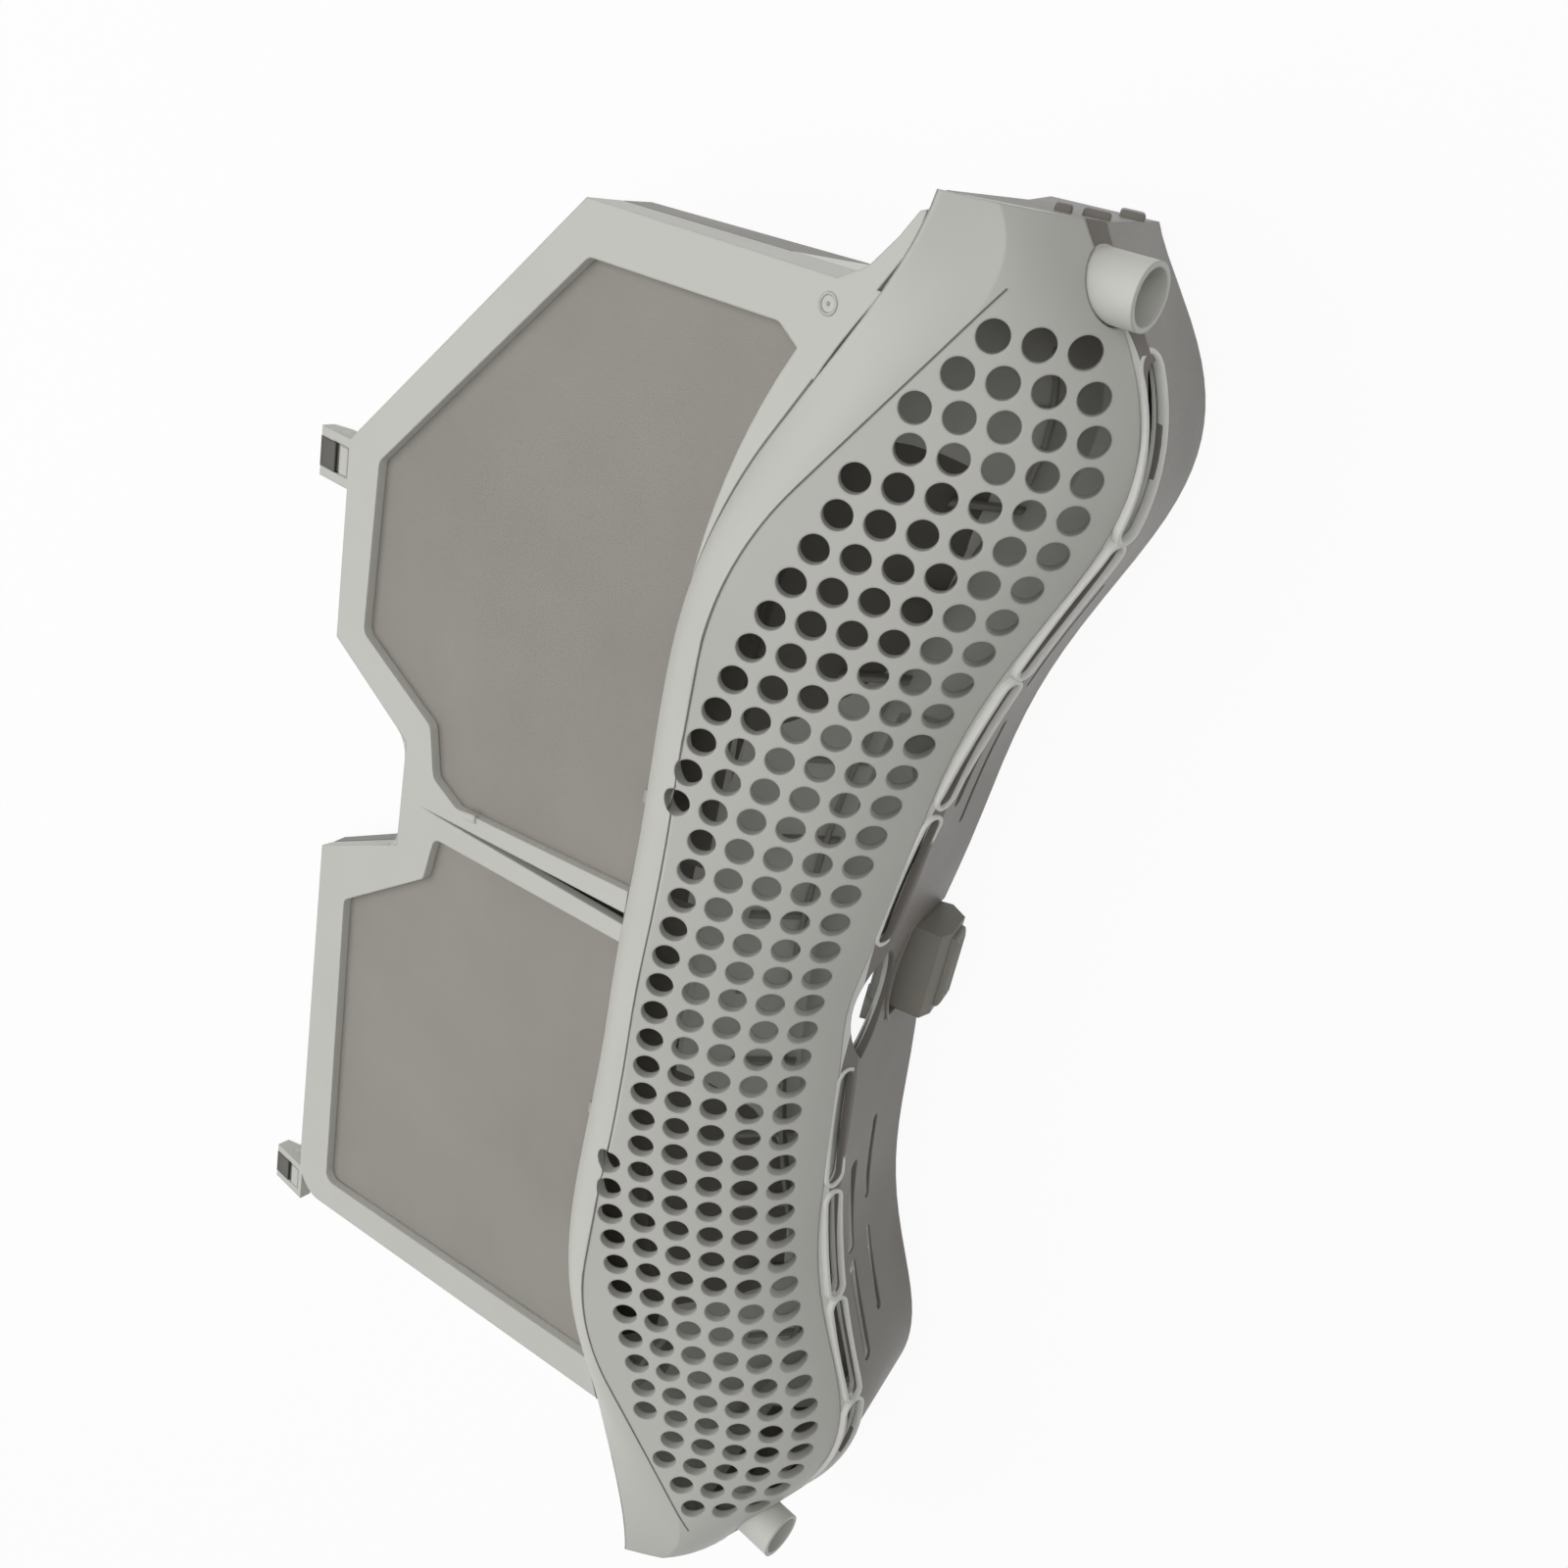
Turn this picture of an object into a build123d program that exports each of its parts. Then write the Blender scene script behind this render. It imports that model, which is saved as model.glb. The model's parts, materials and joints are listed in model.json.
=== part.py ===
"""Two-part lint filter of a dryer: two hinged mesh leaves under a long perforated head.

Units are millimetres. Shared frame: X runs along the head, Z is up, the filter lies on the
bottom edge of the head and on its hinge knuckles, and the origin is at the bottom centre.
The leaf frame (x, y, z) has its z axis normal to the front leaf. The face frame (x, u, v)
has its v axis normal to the perforated face.
"""
import os
from math import asin, atan, cos, degrees, exp, radians, sin, sqrt

from build123d import *

os.makedirs("parts", exist_ok=True)

# overall
HEAD_LENGTH = 350.0
HALF = HEAD_LENGTH / 2
DATUM_Y = 62.115         # leaf-frame origin above the shared origin
DATUM_Z = 55.276
LEAF_TILT = 22.0        # leaf rises towards the head by this angle
FACE_TILT = 28.6        # face normal leans away from the leaf normal

# walls and clearances
WALL = 2.2
PLATE = 2.5
RIM = 2.0
SPLIT_GAP = 0.4         # air between the two halves
MOVE_GAP = 0.35
RUN_FIT = 0.05          # radial clearance of a running pin

# plan curve of the head
WAIST_R = 290.0
HUMP_R = 45.0
HUMP_X = 130.0
HUMP_END = 35.0         # direction of the straight ends
LIP_S = 8.5
LIFT_START = 144.5
LIFT_SLOPE = 0.2

# perforation
HOLE_PITCH_X = 7.5
HOLE_PITCH_U = 8.15
HOLE_DIA = 6.1
HOLE_ROWS = ((0, 20), (0, 20), (0, 20), (0, 19), (0, 18), (6, 16))

# leaves
LEAF_Z = 15.0
LEAF_LEFT = -156.5
LEAF_BOTTOM = -162.0
SPLIT_Z = 11.0          # height of the split at the bottom edge
SPLIT_SLOPE = 0.085
MESH_T = 0.4
CORNER = 3.0

# deck wall below the lip
ROLL_S, ROLL_V = 12.2, -13.0
TOE_S, TOE_V = 22.5, -50.0
HEEL_V = -52.5

# hinge
HINGE_Y, HINGE_Z = -168.0, 11.8
PIN_R = 1.2
CHEEK = 2.5
CLIP_W = 13.0
CLIP_X = (-77.5, 159.5)
LUG_W = CLIP_W - 2 * CHEEK - 2 * 0.3
LUG_R = 2.6

# locating rings
RING_X = 165.0
RING_Z = -14.0
RING_R = 6.3
RING_BORE_R = 5.2
RING_RIM = 24.0
RING_FLOOR = 15.0

# latch
LATCH_W = 24.0
LATCH_PIN_S, LATCH_PIN_V = 14.0, -36.0
LATCH_PIN_R = 1.25
LATCH_HUB_R = 2.6

# air slots of the deck wall, as ranges of |x|
SLOTS_TOP = ((120.0, 154.0, 5.6), (88.0, 118.5, 4.2), (55.0, 86.0, 4.2), (18.5, 51.5, 4.6))
SLOTS_MIDDLE = ((82.0, 115.0), (51.0, 80.5))
SLOTS_LOW = ((78.0, 106.0), (43.0, 70.0))
ROW_1_S, ROW_1_V = 10.9, -11.2
ROW_2_S, ROW_2_V, ROW_2_TALL = 14.4, -21.0, 3.4
ROW_3_S, ROW_3_V, ROW_3_TALL = 17.2, -31.0, 2.2
WALL_TILT = 15.5
POCKET_HALF = 56.0
MOUTH_LEFT, MOUTH_RIGHT = LEAF_LEFT - MOVE_GAP, 135.2
POCKET_STATIONS = (-58.2, -30, 0, 30, 58.2)
SCREEN_MARGIN = 1.6
SCREEN_GAP = 0.3        # air between a deck screen and what carries it
SCREEN_TOP, SCREEN_FOOT = (7.0, -15.0), (15.2, -45.0)
POST_X = (87.0, 119.2)  # posts between the air slots
POST_W = 1.4
SCREEN_STATIONS = (POCKET_HALF + WALL + SCREEN_GAP, 72.0, POST_X[0], 103.0, POST_X[1], 130.0,
                   143.0, 156.0, HALF - WALL - SCREEN_GAP)

STATIONS = (-HALF, -155, -130, -105, -60, 0, 60, 105, 130, 155, HALF)

COS_F, SIN_F = cos(radians(FACE_TILT)), sin(radians(FACE_TILT))
LEAN = FACE_TILT - LEAF_TILT

leaf_plane = Plane(origin=(0, DATUM_Y, DATUM_Z), x_dir=(1, 0, 0),
                   z_dir=(0, -sin(radians(LEAF_TILT)), cos(radians(LEAF_TILT))))
face_plane = Plane(origin=(0, DATUM_Y, DATUM_Z), x_dir=(1, 0, 0),
                   z_dir=(0, sin(radians(LEAN)), cos(radians(LEAN))))


def station(x):
    """Cross-section plane at x, with local axes u and v."""
    return Plane(origin=(x, DATUM_Y, DATUM_Z),
                 x_dir=(0, cos(radians(LEAN)), -sin(radians(LEAN))), z_dir=(1, 0, 0))


def side(x):
    """Cross-section plane at x, with the local axes y and z of the leaf frame."""
    return Plane(origin=(x, DATUM_Y, DATUM_Z),
                 x_dir=(0, cos(radians(LEAF_TILT)), sin(radians(LEAF_TILT))), z_dir=(1, 0, 0))


def to_uv(y, z):
    """Leaf-frame (y, z) as face-frame (u, v)."""
    return y * COS_F - z * SIN_F, y * SIN_F + z * COS_F


def shift(x):
    """Sideways shift of the lip at x: a waist arc, a hump arc and straight ends."""
    a = abs(x)
    centre = WAIST_R - sqrt((WAIST_R + HUMP_R) ** 2 - HUMP_X ** 2)
    if a <= WAIST_R * HUMP_X / (WAIST_R + HUMP_R):
        return WAIST_R - sqrt(WAIST_R ** 2 - a * a)
    turn = radians(HUMP_END)
    if a <= HUMP_X + HUMP_R * sin(turn):
        return centre + sqrt(HUMP_R ** 2 - (a - HUMP_X) ** 2)
    return centre + HUMP_R * cos(turn) - (a - HUMP_X - HUMP_R * sin(turn)) * sin(turn) / cos(turn)


def bend(a, start, radius, turn):
    """Rise of a line that runs level, bends through an arc and then climbs straight."""
    end = start + radius * sin(radians(turn))
    if a <= start:
        return 0.0
    if a <= end:
        return radius - sqrt(radius ** 2 - (a - start) ** 2)
    return radius * (1 - cos(radians(turn))) + (a - end) * sin(radians(turn)) / cos(radians(turn))


def crease(x):
    """Position u of the edge between flank and face."""
    return min(-37.5 + bend(abs(x), 80.0, 70.0, 34.0), shift(x) - 6.0)


def seam(x):
    """Position y of the foot of the cover on the leaf plane."""
    return -45.0 + bend(abs(x), 70.0, 110.0, 30.0) - 0.45 * max(abs(x) - 166.0, 0.0)


def plate_edge(x):
    """Position y of the hidden edge of the leaf plate below the cover."""
    return seam(x) + 3.0 - 3.25 * min(max((abs(x) - 118.0) / 22.0, 0.0), 1.0)


def face(x, s):
    """Height v of the face at the distance s from the lip datum."""
    return 9.8 * (1 - exp(s / 14.0)) + LIFT_SLOPE * max(abs(x) - LIFT_START, 0.0)


def split(y):
    """Height z of the plane between the two halves."""
    return SPLIT_Z - SPLIT_SLOPE * (y + 162.0)


def back(y):
    """Height z of the outer plane of the back leaf."""
    meet = -162.0 - (LEAF_Z - SPLIT_Z) / SPLIT_SLOPE
    return LEAF_Z - 2 * SPLIT_SLOPE / (1 - SPLIT_SLOPE ** 2) * (y - meet)


def back_foot(x):
    """Mirror image of the cover foot in the split plane, as (u, v)."""
    y = seam(x)
    d = (LEAF_Z - split(y)) / (1 + SPLIT_SLOPE ** 2)
    return to_uv(y - 2 * d * SPLIT_SLOPE, LEAF_Z - 2 * d)


def cover_points(x, inset):
    """Section of the cover at x, or of its hollow when inset is a wall thickness."""
    foot = to_uv(seam(x), LEAF_Z)
    top_u = crease(x)
    lip_u = shift(x) + LIP_S
    face_u = [top_u + (lip_u - top_u) * k for k in (0.0, 0.45, 0.8, 1.0)]
    points = [(u, face(x, u - shift(x))) for u in face_u]
    if inset:
        foot = (foot[0] + inset * 1.15, foot[1] - 3.0)
        slopes = [(points[i + 1][1] - points[i][1]) / (points[i + 1][0] - points[i][0])
                  for i in range(3)]
        slopes = [slopes[0]] + [(slopes[i] + slopes[i + 1]) / 2 for i in range(2)] + [slopes[2]]
        points = [(u + inset * k / sqrt(1 + k * k), v - inset / sqrt(1 + k * k))
                  for (u, v), k in zip(points, slopes)]
        points[0] = (points[0][0] + inset * 0.9, points[0][1])
        points[3] = (lip_u - inset * 1.1, points[3][1] - 3.0)
    bulge = 0.0 if inset else 1.0
    room = min(1.0, max(0.05, (168.0 - abs(x)) / 40.0))
    mid = ((foot[0] + points[0][0]) / 2, (foot[1] + points[0][1]) / 2)
    run = (points[0][0] - foot[0], points[0][1] - foot[1])
    size = sqrt(run[0] ** 2 + run[1] ** 2)
    push = (2.4 if bulge else 1.6) * room
    mid = (mid[0] - run[1] / size * push, mid[1] + run[0] / size * push)
    return foot, mid, points


def deck_points(x, inset):
    """Section of the trough below the cover, or of its hollow when inset is a wall thickness."""
    t = shift(x)
    foot = to_uv(seam(x), LEAF_Z - PLATE - MOVE_GAP)
    chord_a = to_uv(seam(x), LEAF_Z)
    lip = (t + LIP_S, face(x, LIP_S))
    ramp = LIFT_SLOPE * max(abs(x) - LIFT_START, 0.0)
    near = (chord_a[0] + (lip[0] - chord_a[0]) * 0.16, chord_a[1] + (lip[1] - chord_a[1]) * 0.16)
    heel = back_foot(x)
    if not inset:
        return [foot, (near[0], near[1] - MOVE_GAP), (lip[0], lip[1] - MOVE_GAP),
                (t + ROLL_S, ROLL_V + ramp), (t + TOE_S, TOE_V), (t, HEEL_V), heel]
    return [(foot[0] + inset * 1.2, foot[1] + 4.0), (near[0] + inset, near[1] + 4.0),
            (lip[0] - inset * 1.2, lip[1] + 4.0), (t + ROLL_S - inset * 1.1, ROLL_V + ramp),
            (t + TOE_S - inset * 1.35, TOE_V + inset), (t + inset * 0.4, HEEL_V + inset),
            (heel[0] + inset * 1.2, heel[1] + inset * 0.8)]


def deck_normal(x, s, v, up):
    """Plane on the deck wall at x, facing out of it, with local x along the wall."""
    e = 0.01
    t = (shift(x + e) - shift(x - e)) / (2 * e)
    k = 1 / sqrt(1 + t * t)
    lean_c, lean_s = cos(radians(LEAN)), sin(radians(LEAN))
    u_dir = (0.0, lean_c, -lean_s)
    v_dir = (0.0, lean_s, lean_c)
    out = (-t * k, u_dir[1] * k, u_dir[2] * k)
    along = (k, u_dir[1] * t * k, u_dir[2] * t * k)
    c, n = cos(radians(up)), sin(radians(up))
    z_dir = tuple(out[i] * c + v_dir[i] * n for i in range(3))
    u = shift(x) + s
    origin = (x, DATUM_Y + u * u_dir[1] + v * v_dir[1], DATUM_Z + u * u_dir[2] + v * v_dir[2])
    return Plane(origin=origin, x_dir=along, z_dir=z_dir)


def pocket_points(x, wall):
    """Section of the finger pocket, grown by the thickness of its wall."""
    t = shift(x)
    if wall:
        return [(t + 4.6, ROLL_V + 4.0), (t + 9.8, ROLL_V + 1.0), (t + 20.0, TOE_V + 2.0),
                (t + 18.5, HEEL_V + 2.6), (t - 4.5, HEEL_V + 1.0), (t - 4.5, TOE_V + 5.0)]
    return [(t + 7.2, ROLL_V + 1.5), (t + 9.8, ROLL_V - 0.6), (t + 19.5, TOE_V + 2.6),
            (t + 19.5, HEEL_V - 8.0), (t - 2.0, HEEL_V - 8.0), (t - 2.0, TOE_V + 5.0)]


def deck_screen_points(x):
    """Section of a deck screen, set back from the deck wall by the posts."""
    t = shift(x)
    return [(t + SCREEN_TOP[0], SCREEN_TOP[1]), (t + SCREEN_TOP[0] + MESH_T, SCREEN_TOP[1]),
            (t + SCREEN_FOOT[0] + MESH_T, SCREEN_FOOT[1]), (t + SCREEN_FOOT[0], SCREEN_FOOT[1])]


def post_points(x):
    """Section of a post, from inside the deck wall to just short of the deck screen."""
    t = shift(x)
    near = MESH_T + SCREEN_GAP
    return [(t + SCREEN_TOP[0] + near, SCREEN_TOP[1]), (t + ROLL_S - WALL / 2, SCREEN_TOP[1]),
            (t + TOE_S - WALL - 0.6, SCREEN_FOOT[1]), (t + SCREEN_FOOT[0] + near, SCREEN_FOOT[1])]


HOLES = [(sign * HOLE_PITCH_X * (i + 0.5), row)
         for row, (first, last) in enumerate(HOLE_ROWS)
         for i in range(first, last + 1) for sign in (-1, 1)]

LEAF_SHAPE = ((LEAF_LEFT, 20.0), (LEAF_LEFT, -89.0), (-84.0, LEAF_BOTTOM),
              (-30.5, LEAF_BOTTOM), (-14.0, -129.2), (17.0, -129.2), (34.0, LEAF_BOTTOM),
              (161.8, LEAF_BOTTOM), (125.4, 20.0))
SILL = 0.9              # how far the windows reach below the foot of the cover

# windows of a leaf, in the leaf plane
with BuildSketch() as window_upper:
    with BuildLine():
        ThreePointArc((-142.4, -28.2), (-111.0, -40.2), (-78.0, seam(0) + SILL))
        Polyline((-78.0, seam(0) + SILL), (-14.0, seam(0) + SILL), (-5.1, -107.4),
                 (-9.1, -117.3), (-22.5, -120.5), (-36.2, -150.6), (-82.1, -149.7),
                 (-145.4, -86.1), (-145.9, -33.7), (-142.4, -28.2))
    make_face()
    fillet([v for v in window_upper.vertices() if v.Y < seam(0) or v.X < -144.0], CORNER)

with BuildSketch() as window_lower:
    with BuildLine():
        ThreePointArc((70.0, seam(70) + SILL), (98.0, seam(98) + SILL),
                      (124.5, seam(124.5) + SILL))
        Polyline((124.5, seam(124.5) + SILL), (148.9, -148.0), (45.9, -150.0), (21.2, -117.1),
                 (7.5, -114.4), (0.0, seam(0) + SILL), (70.0, seam(0) + SILL))
    make_face()
    fillet([v for v in window_lower.vertices() if v.Y < seam(0)], CORNER)

with BuildSketch() as window_gap:
    Polygon((1.2, -121.5), (-8.1, seam(0) + SILL), (-4.9, seam(0) + SILL), align=None)

# solid envelope of the cover, also used to trim what stands under it
with BuildPart() as cover_block:
    for x in STATIONS:
        foot, mid, pts = cover_points(x, 0)
        with BuildSketch(station(x)):
            with BuildLine():
                ThreePointArc(foot, mid, pts[0])
                Spline(*pts)
                Line(pts[3], foot)
            make_face()
    loft()

with BuildPart() as front_cover:
    add(cover_block.part)
    for x in (-HALF + WALL,) + STATIONS[1:-1] + (HALF - WALL,):
        foot, mid, pts = cover_points(x, WALL)
        with BuildSketch(station(x)):
            with BuildLine():
                ThreePointArc(foot, mid, pts[0])
                Spline(*pts)
                Line(pts[3], foot)
            make_face()
    loft(mode=Mode.SUBTRACT)
    with BuildSketch(face_plane.offset(-20.0)):
        for x, row in HOLES:
            with Locations((x, shift(x) - HOLE_PITCH_U * row)):
                Circle(HOLE_DIA / 2)
    extrude(amount=45.0, mode=Mode.SUBTRACT)
    for sign in (-1, 1):
        with BuildSketch(Plane(origin=leaf_plane.from_local_coords((sign * RING_X, 2.0, RING_Z)),
                               x_dir=(1, 0, 0), z_dir=leaf_plane.y_dir)):
            Circle(RING_R + MOVE_GAP)
        extrude(amount=30.0, mode=Mode.SUBTRACT)
front_cover.part.label = "front_cover"
export_step(front_cover.part, "parts/front_cover.step")

# one half of the leaf pair, open towards the split
with BuildPart() as leaf_half:
    with BuildSketch(leaf_plane.offset(-2.0)) as outline:
        Polygon(*LEAF_SHAPE, align=None)
        fillet(outline.vertices().group_by(Axis.X)[-1], 9.0)
    extrude(amount=LEAF_Z + 2.0)
    with BuildSketch(leaf_plane.offset(-2.0)) as cavity:
        add(outline.sketch_local)
        offset(amount=-RIM, kind=Kind.INTERSECTION, mode=Mode.REPLACE)
    extrude(amount=LEAF_Z + 2.0 - PLATE, mode=Mode.SUBTRACT)
    with BuildSketch(leaf_plane.offset(LEAF_Z - PLATE - 1.0)):
        add(window_upper.sketch)
        add(window_lower.sketch)
        add(window_gap.sketch)
    extrude(amount=PLATE + 2.0, mode=Mode.SUBTRACT)
    # cut along the split and along the foot of the cover
    with BuildSketch(side(0)):
        with BuildLine():
            Polyline((-220.0, -60.0), (-220.0, split(-220.0) + SPLIT_GAP / 2),
                     (60.0, split(60.0) + SPLIT_GAP / 2), (60.0, -60.0), close=True)
        make_face()
    extrude(amount=220.0, both=True, mode=Mode.SUBTRACT)
    with BuildSketch(leaf_plane.offset(-30.0)):
        with BuildLine():
            Spline(*[(x, plate_edge(x)) for x in
                     (-178, -166, -150, -140, -129, -118, -100, -80, -60, 0,
                      60, 80, 100, 118, 129, 140, 150, 166, 178)])
            Polyline((178, plate_edge(178)), (178, 60), (-178, 60), (-178, plate_edge(178)))
        make_face()
    extrude(amount=60.0, mode=Mode.SUBTRACT)

with BuildPart() as frame_block:
    add(leaf_half.part)
    # flange outside the foot of the cover
    with BuildSketch(leaf_plane.offset(LEAF_Z - WALL)):
        Polygon((LEAF_LEFT + 0.5, -23.0), (-160.0, -16.0), (-166.2, -10.9), (-171.0, -7.8),
                (-171.5, plate_edge(171.5) - 0.3), (-166.0, plate_edge(166) - 0.3),
                (LEAF_LEFT + 0.5, plate_edge(156) - 0.8),
                align=None)
    extrude(amount=WALL)
    # hinge clips, two cheeks and a roof each
    for x in CLIP_X:
        with BuildSketch(side(x)) as clip_side:
            Polygon((-160.5, LEAF_Z), (-174.0, LEAF_Z), (-174.0, 11.4), (-169.0, 9.4),
                    (-164.0, 9.4), (-162.2, 11.4), (-160.5, 11.4), align=None)
        extrude(amount=CLIP_W / 2, both=True)
        with BuildSketch(side(x)):
            with BuildLine():
                Polyline((-162.3, LEAF_Z - 0.01), (-162.3, 0.0), (-180.0, 0.0), (-180.0, 13.2),
                         (-171.2, 13.2))
                ThreePointArc((-171.2, 13.2), (-168.6, LEAF_Z - 0.02), (-166.0, LEAF_Z - 0.01))
                Line((-166.0, LEAF_Z - 0.01), (-162.3, LEAF_Z - 0.01))
            make_face()
        extrude(amount=LUG_W / 2 + 0.3, both=True, mode=Mode.SUBTRACT)
    with BuildSketch(side(0)):
        with Locations((HINGE_Y, HINGE_Z)):
            Circle(PIN_R)
    extrude(amount=200.0, both=True, mode=Mode.SUBTRACT)
    add(cover_block.part, mode=Mode.SUBTRACT)

# the frame itself, without the slivers that the cover cuts off its hidden edge
with BuildPart() as front_frame:
    add(frame_block.part.solids().sort_by(SortBy.VOLUME)[-1])
front_frame.part.label = "front_frame"
export_step(front_frame.part, "parts/front_frame.step")

with BuildPart() as back_frame:
    split_plane = Plane(origin=leaf_plane.from_local_coords((0, -162.0, SPLIT_Z)), x_dir=(1, 0, 0),
                        z_dir=leaf_plane.z_dir.rotate(Axis.X, -degrees(atan(SPLIT_SLOPE))))
    mirror(leaf_half.part, about=split_plane)
    for x in CLIP_X:
        with BuildSketch(side(x)):
            with Locations((HINGE_Y, HINGE_Z)):
                Circle(LUG_R)
            Polygon((-170.0, 10.2), (-166.2, 13.7), (-162.7, 10.5), (-160.8, 10.5), (-160.8, 7.3),
                    (-164.2, 7.3), align=None)
        extrude(amount=LUG_W / 2, both=True)
    with BuildSketch(side(0)):
        with Locations((HINGE_Y, HINGE_Z)):
            Circle(PIN_R + RUN_FIT)
    extrude(amount=200.0, both=True, mode=Mode.SUBTRACT)
back_frame.part.label = "back_frame"
export_step(back_frame.part, "parts/back_frame.step")

with BuildPart() as hinge_pin_left:
    with BuildSketch(side(CLIP_X[0])):
        with Locations((HINGE_Y, HINGE_Z)):
            Circle(PIN_R)
    extrude(amount=CLIP_W / 2, both=True)
hinge_pin_left.part.label = "hinge_pin_left"
export_step(hinge_pin_left.part, "parts/hinge_pin_left.step")

with BuildPart() as hinge_pin_right:
    with BuildSketch(side(CLIP_X[1])):
        with Locations((HINGE_Y, HINGE_Z)):
            Circle(PIN_R)
    extrude(amount=CLIP_W / 2, both=True)
hinge_pin_right.part.label = "hinge_pin_right"
export_step(hinge_pin_right.part, "parts/hinge_pin_right.step")


# trough that closes the head below the cover
with BuildPart() as trough_block:
    for x in STATIONS:
        with BuildSketch(station(x)):
            Polygon(*deck_points(x, 0), align=None)
    loft()

# space of the leaves where they enter the trough
with BuildPart() as mouth_block:
    with BuildSketch(leaf_plane.offset(-40.0)):
        with BuildLine():
            Spline(*[(x, seam(x) + 5.0) for x in
                     (MOUTH_LEFT, -136, -122, -110, -96, -80, -60, 0,
                      60, 80, 96, 110, 122, MOUTH_RIGHT)])
            Polyline((MOUTH_RIGHT, seam(MOUTH_RIGHT) + 5.0), (MOUTH_RIGHT + 6.9, -60.0),
                     (MOUTH_LEFT, -60.0), (MOUTH_LEFT, seam(MOUTH_LEFT) + 5.0))
        make_face()
    extrude(amount=60.0)
    with BuildSketch(side(0)):
        Polygon((-90.0, back(-90.0)), (40.0, back(40.0)), (40.0, -90.0), (-90.0, -90.0), align=None)
    extrude(amount=200.0, both=True, mode=Mode.SUBTRACT)

with BuildPart() as deck_shell:
    add(trough_block.part)
    for x in (-HALF + WALL,) + STATIONS[1:-1] + (HALF - WALL,):
        with BuildSketch(station(x)):
            Polygon(*deck_points(x, WALL), align=None)
    loft(mode=Mode.SUBTRACT)
    add(mouth_block.part, mode=Mode.SUBTRACT)
    # locating rings at both ends of the lip
    for sign in (-1, 1):
        ring_plane = Plane(origin=leaf_plane.from_local_coords((sign * RING_X, 6.0, RING_Z)),
                           x_dir=(1, 0, 0), z_dir=leaf_plane.y_dir)
        with BuildSketch(ring_plane):
            Circle(RING_R)
        extrude(amount=RING_RIM - 6.0)
        with BuildSketch(ring_plane.offset(RING_FLOOR - 6.0)):
            Circle(RING_BORE_R)
        extrude(amount=20.0, mode=Mode.SUBTRACT)
    # first row of air slots, crescents on the two humps
    for x0, x1, tall in SLOTS_TOP:
        for sign in (-1, 1):
            mid = sign * (x0 + x1) / 2
            with BuildSketch(deck_normal(mid, ROW_1_S, ROW_1_V, 31.0)):
                SlotOverall(x1 - x0, tall)
            extrude(amount=8.0, both=True, mode=Mode.SUBTRACT)
    for x0, x1 in SLOTS_MIDDLE:
        for sign in (-1, 1):
            mid = sign * (x0 + x1) / 2
            with BuildSketch(deck_normal(mid, ROW_2_S, ROW_2_V, WALL_TILT)):
                SlotOverall(x1 - x0, ROW_2_TALL)
            extrude(amount=8.0, both=True, mode=Mode.SUBTRACT)
    for x0, x1 in SLOTS_LOW:
        for sign in (-1, 1):
            mid = sign * (x0 + x1) / 2
            with BuildSketch(deck_normal(mid, ROW_3_S, ROW_3_V, WALL_TILT)):
                SlotOverall(x1 - x0, ROW_3_TALL)
            extrude(amount=8.0, both=True, mode=Mode.SUBTRACT)
    # finger pocket behind the middle of the wall, open at the underside
    for x in POCKET_STATIONS:
        with BuildSketch(station(x)):
            Polygon(*pocket_points(x, WALL), align=None)
    loft()
    for x in (-POCKET_HALF,) + POCKET_STATIONS[1:-1] + (POCKET_HALF,):
        with BuildSketch(station(x)):
            Polygon(*pocket_points(x, 0), align=None)
    loft(mode=Mode.SUBTRACT)
    # lens-shaped grip opening above the latch
    with BuildSketch(deck_normal(1.0, ROLL_S, ROLL_V, 24.0)):
        with BuildLine():
            ThreePointArc((-15.5, 2.0), (0.0, -4.0), (15.5, 2.0))
            ThreePointArc((15.5, 2.0), (0.0, 12.5), (-15.5, 2.0))
        make_face()
    extrude(amount=7.0, both=True, mode=Mode.SUBTRACT)
    # window of the latch
    with BuildSketch(deck_normal(0.0, ROLL_S + 5.8, ROLL_V - 22.0, WALL_TILT)):
        with Locations((0.0, 4.0)):
            Rectangle(LATCH_W + 2 * MOVE_GAP, 24.0)
    extrude(amount=6.0, both=True, mode=Mode.SUBTRACT)
    # posts that carry the deck screens between the air slots
    for x in (-POST_X[1], -POST_X[0], POST_X[0], POST_X[1]):
        for edge in (x - POST_W / 2, x + POST_W / 2):
            with BuildSketch(station(edge)):
                Polygon(*post_points(edge), align=None)
        loft(ruled=True)
    # bearings of the latch pin
    for sign in (-1, 1):
        with BuildSketch(station(sign * (LATCH_W / 2 + MOVE_GAP + 2.0))):
            Polygon((11.0, -31.0), (17.0, -31.0), (19.2, -41.0), (11.0, -41.0), align=None)
        extrude(amount=2.0, both=True)
    with BuildSketch(station(0)):
        with Locations((LATCH_PIN_S, LATCH_PIN_V)):
            Circle(LATCH_PIN_R)
    extrude(amount=30.0, both=True, mode=Mode.SUBTRACT)
deck_shell.part.label = "deck_shell"
export_step(deck_shell.part, "parts/deck_shell.step")

# woven screens of the leaves, welded behind the windows
with BuildPart() as front_screen_upper:
    with BuildSketch(leaf_plane.offset(LEAF_Z - PLATE - MESH_T)):
        add(window_upper.sketch)
        offset(amount=SCREEN_MARGIN, kind=Kind.INTERSECTION, mode=Mode.REPLACE)
    extrude(amount=MESH_T)
front_screen_upper.part.label = "front_screen_upper"
export_step(front_screen_upper.part, "parts/front_screen_upper.step")

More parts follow.
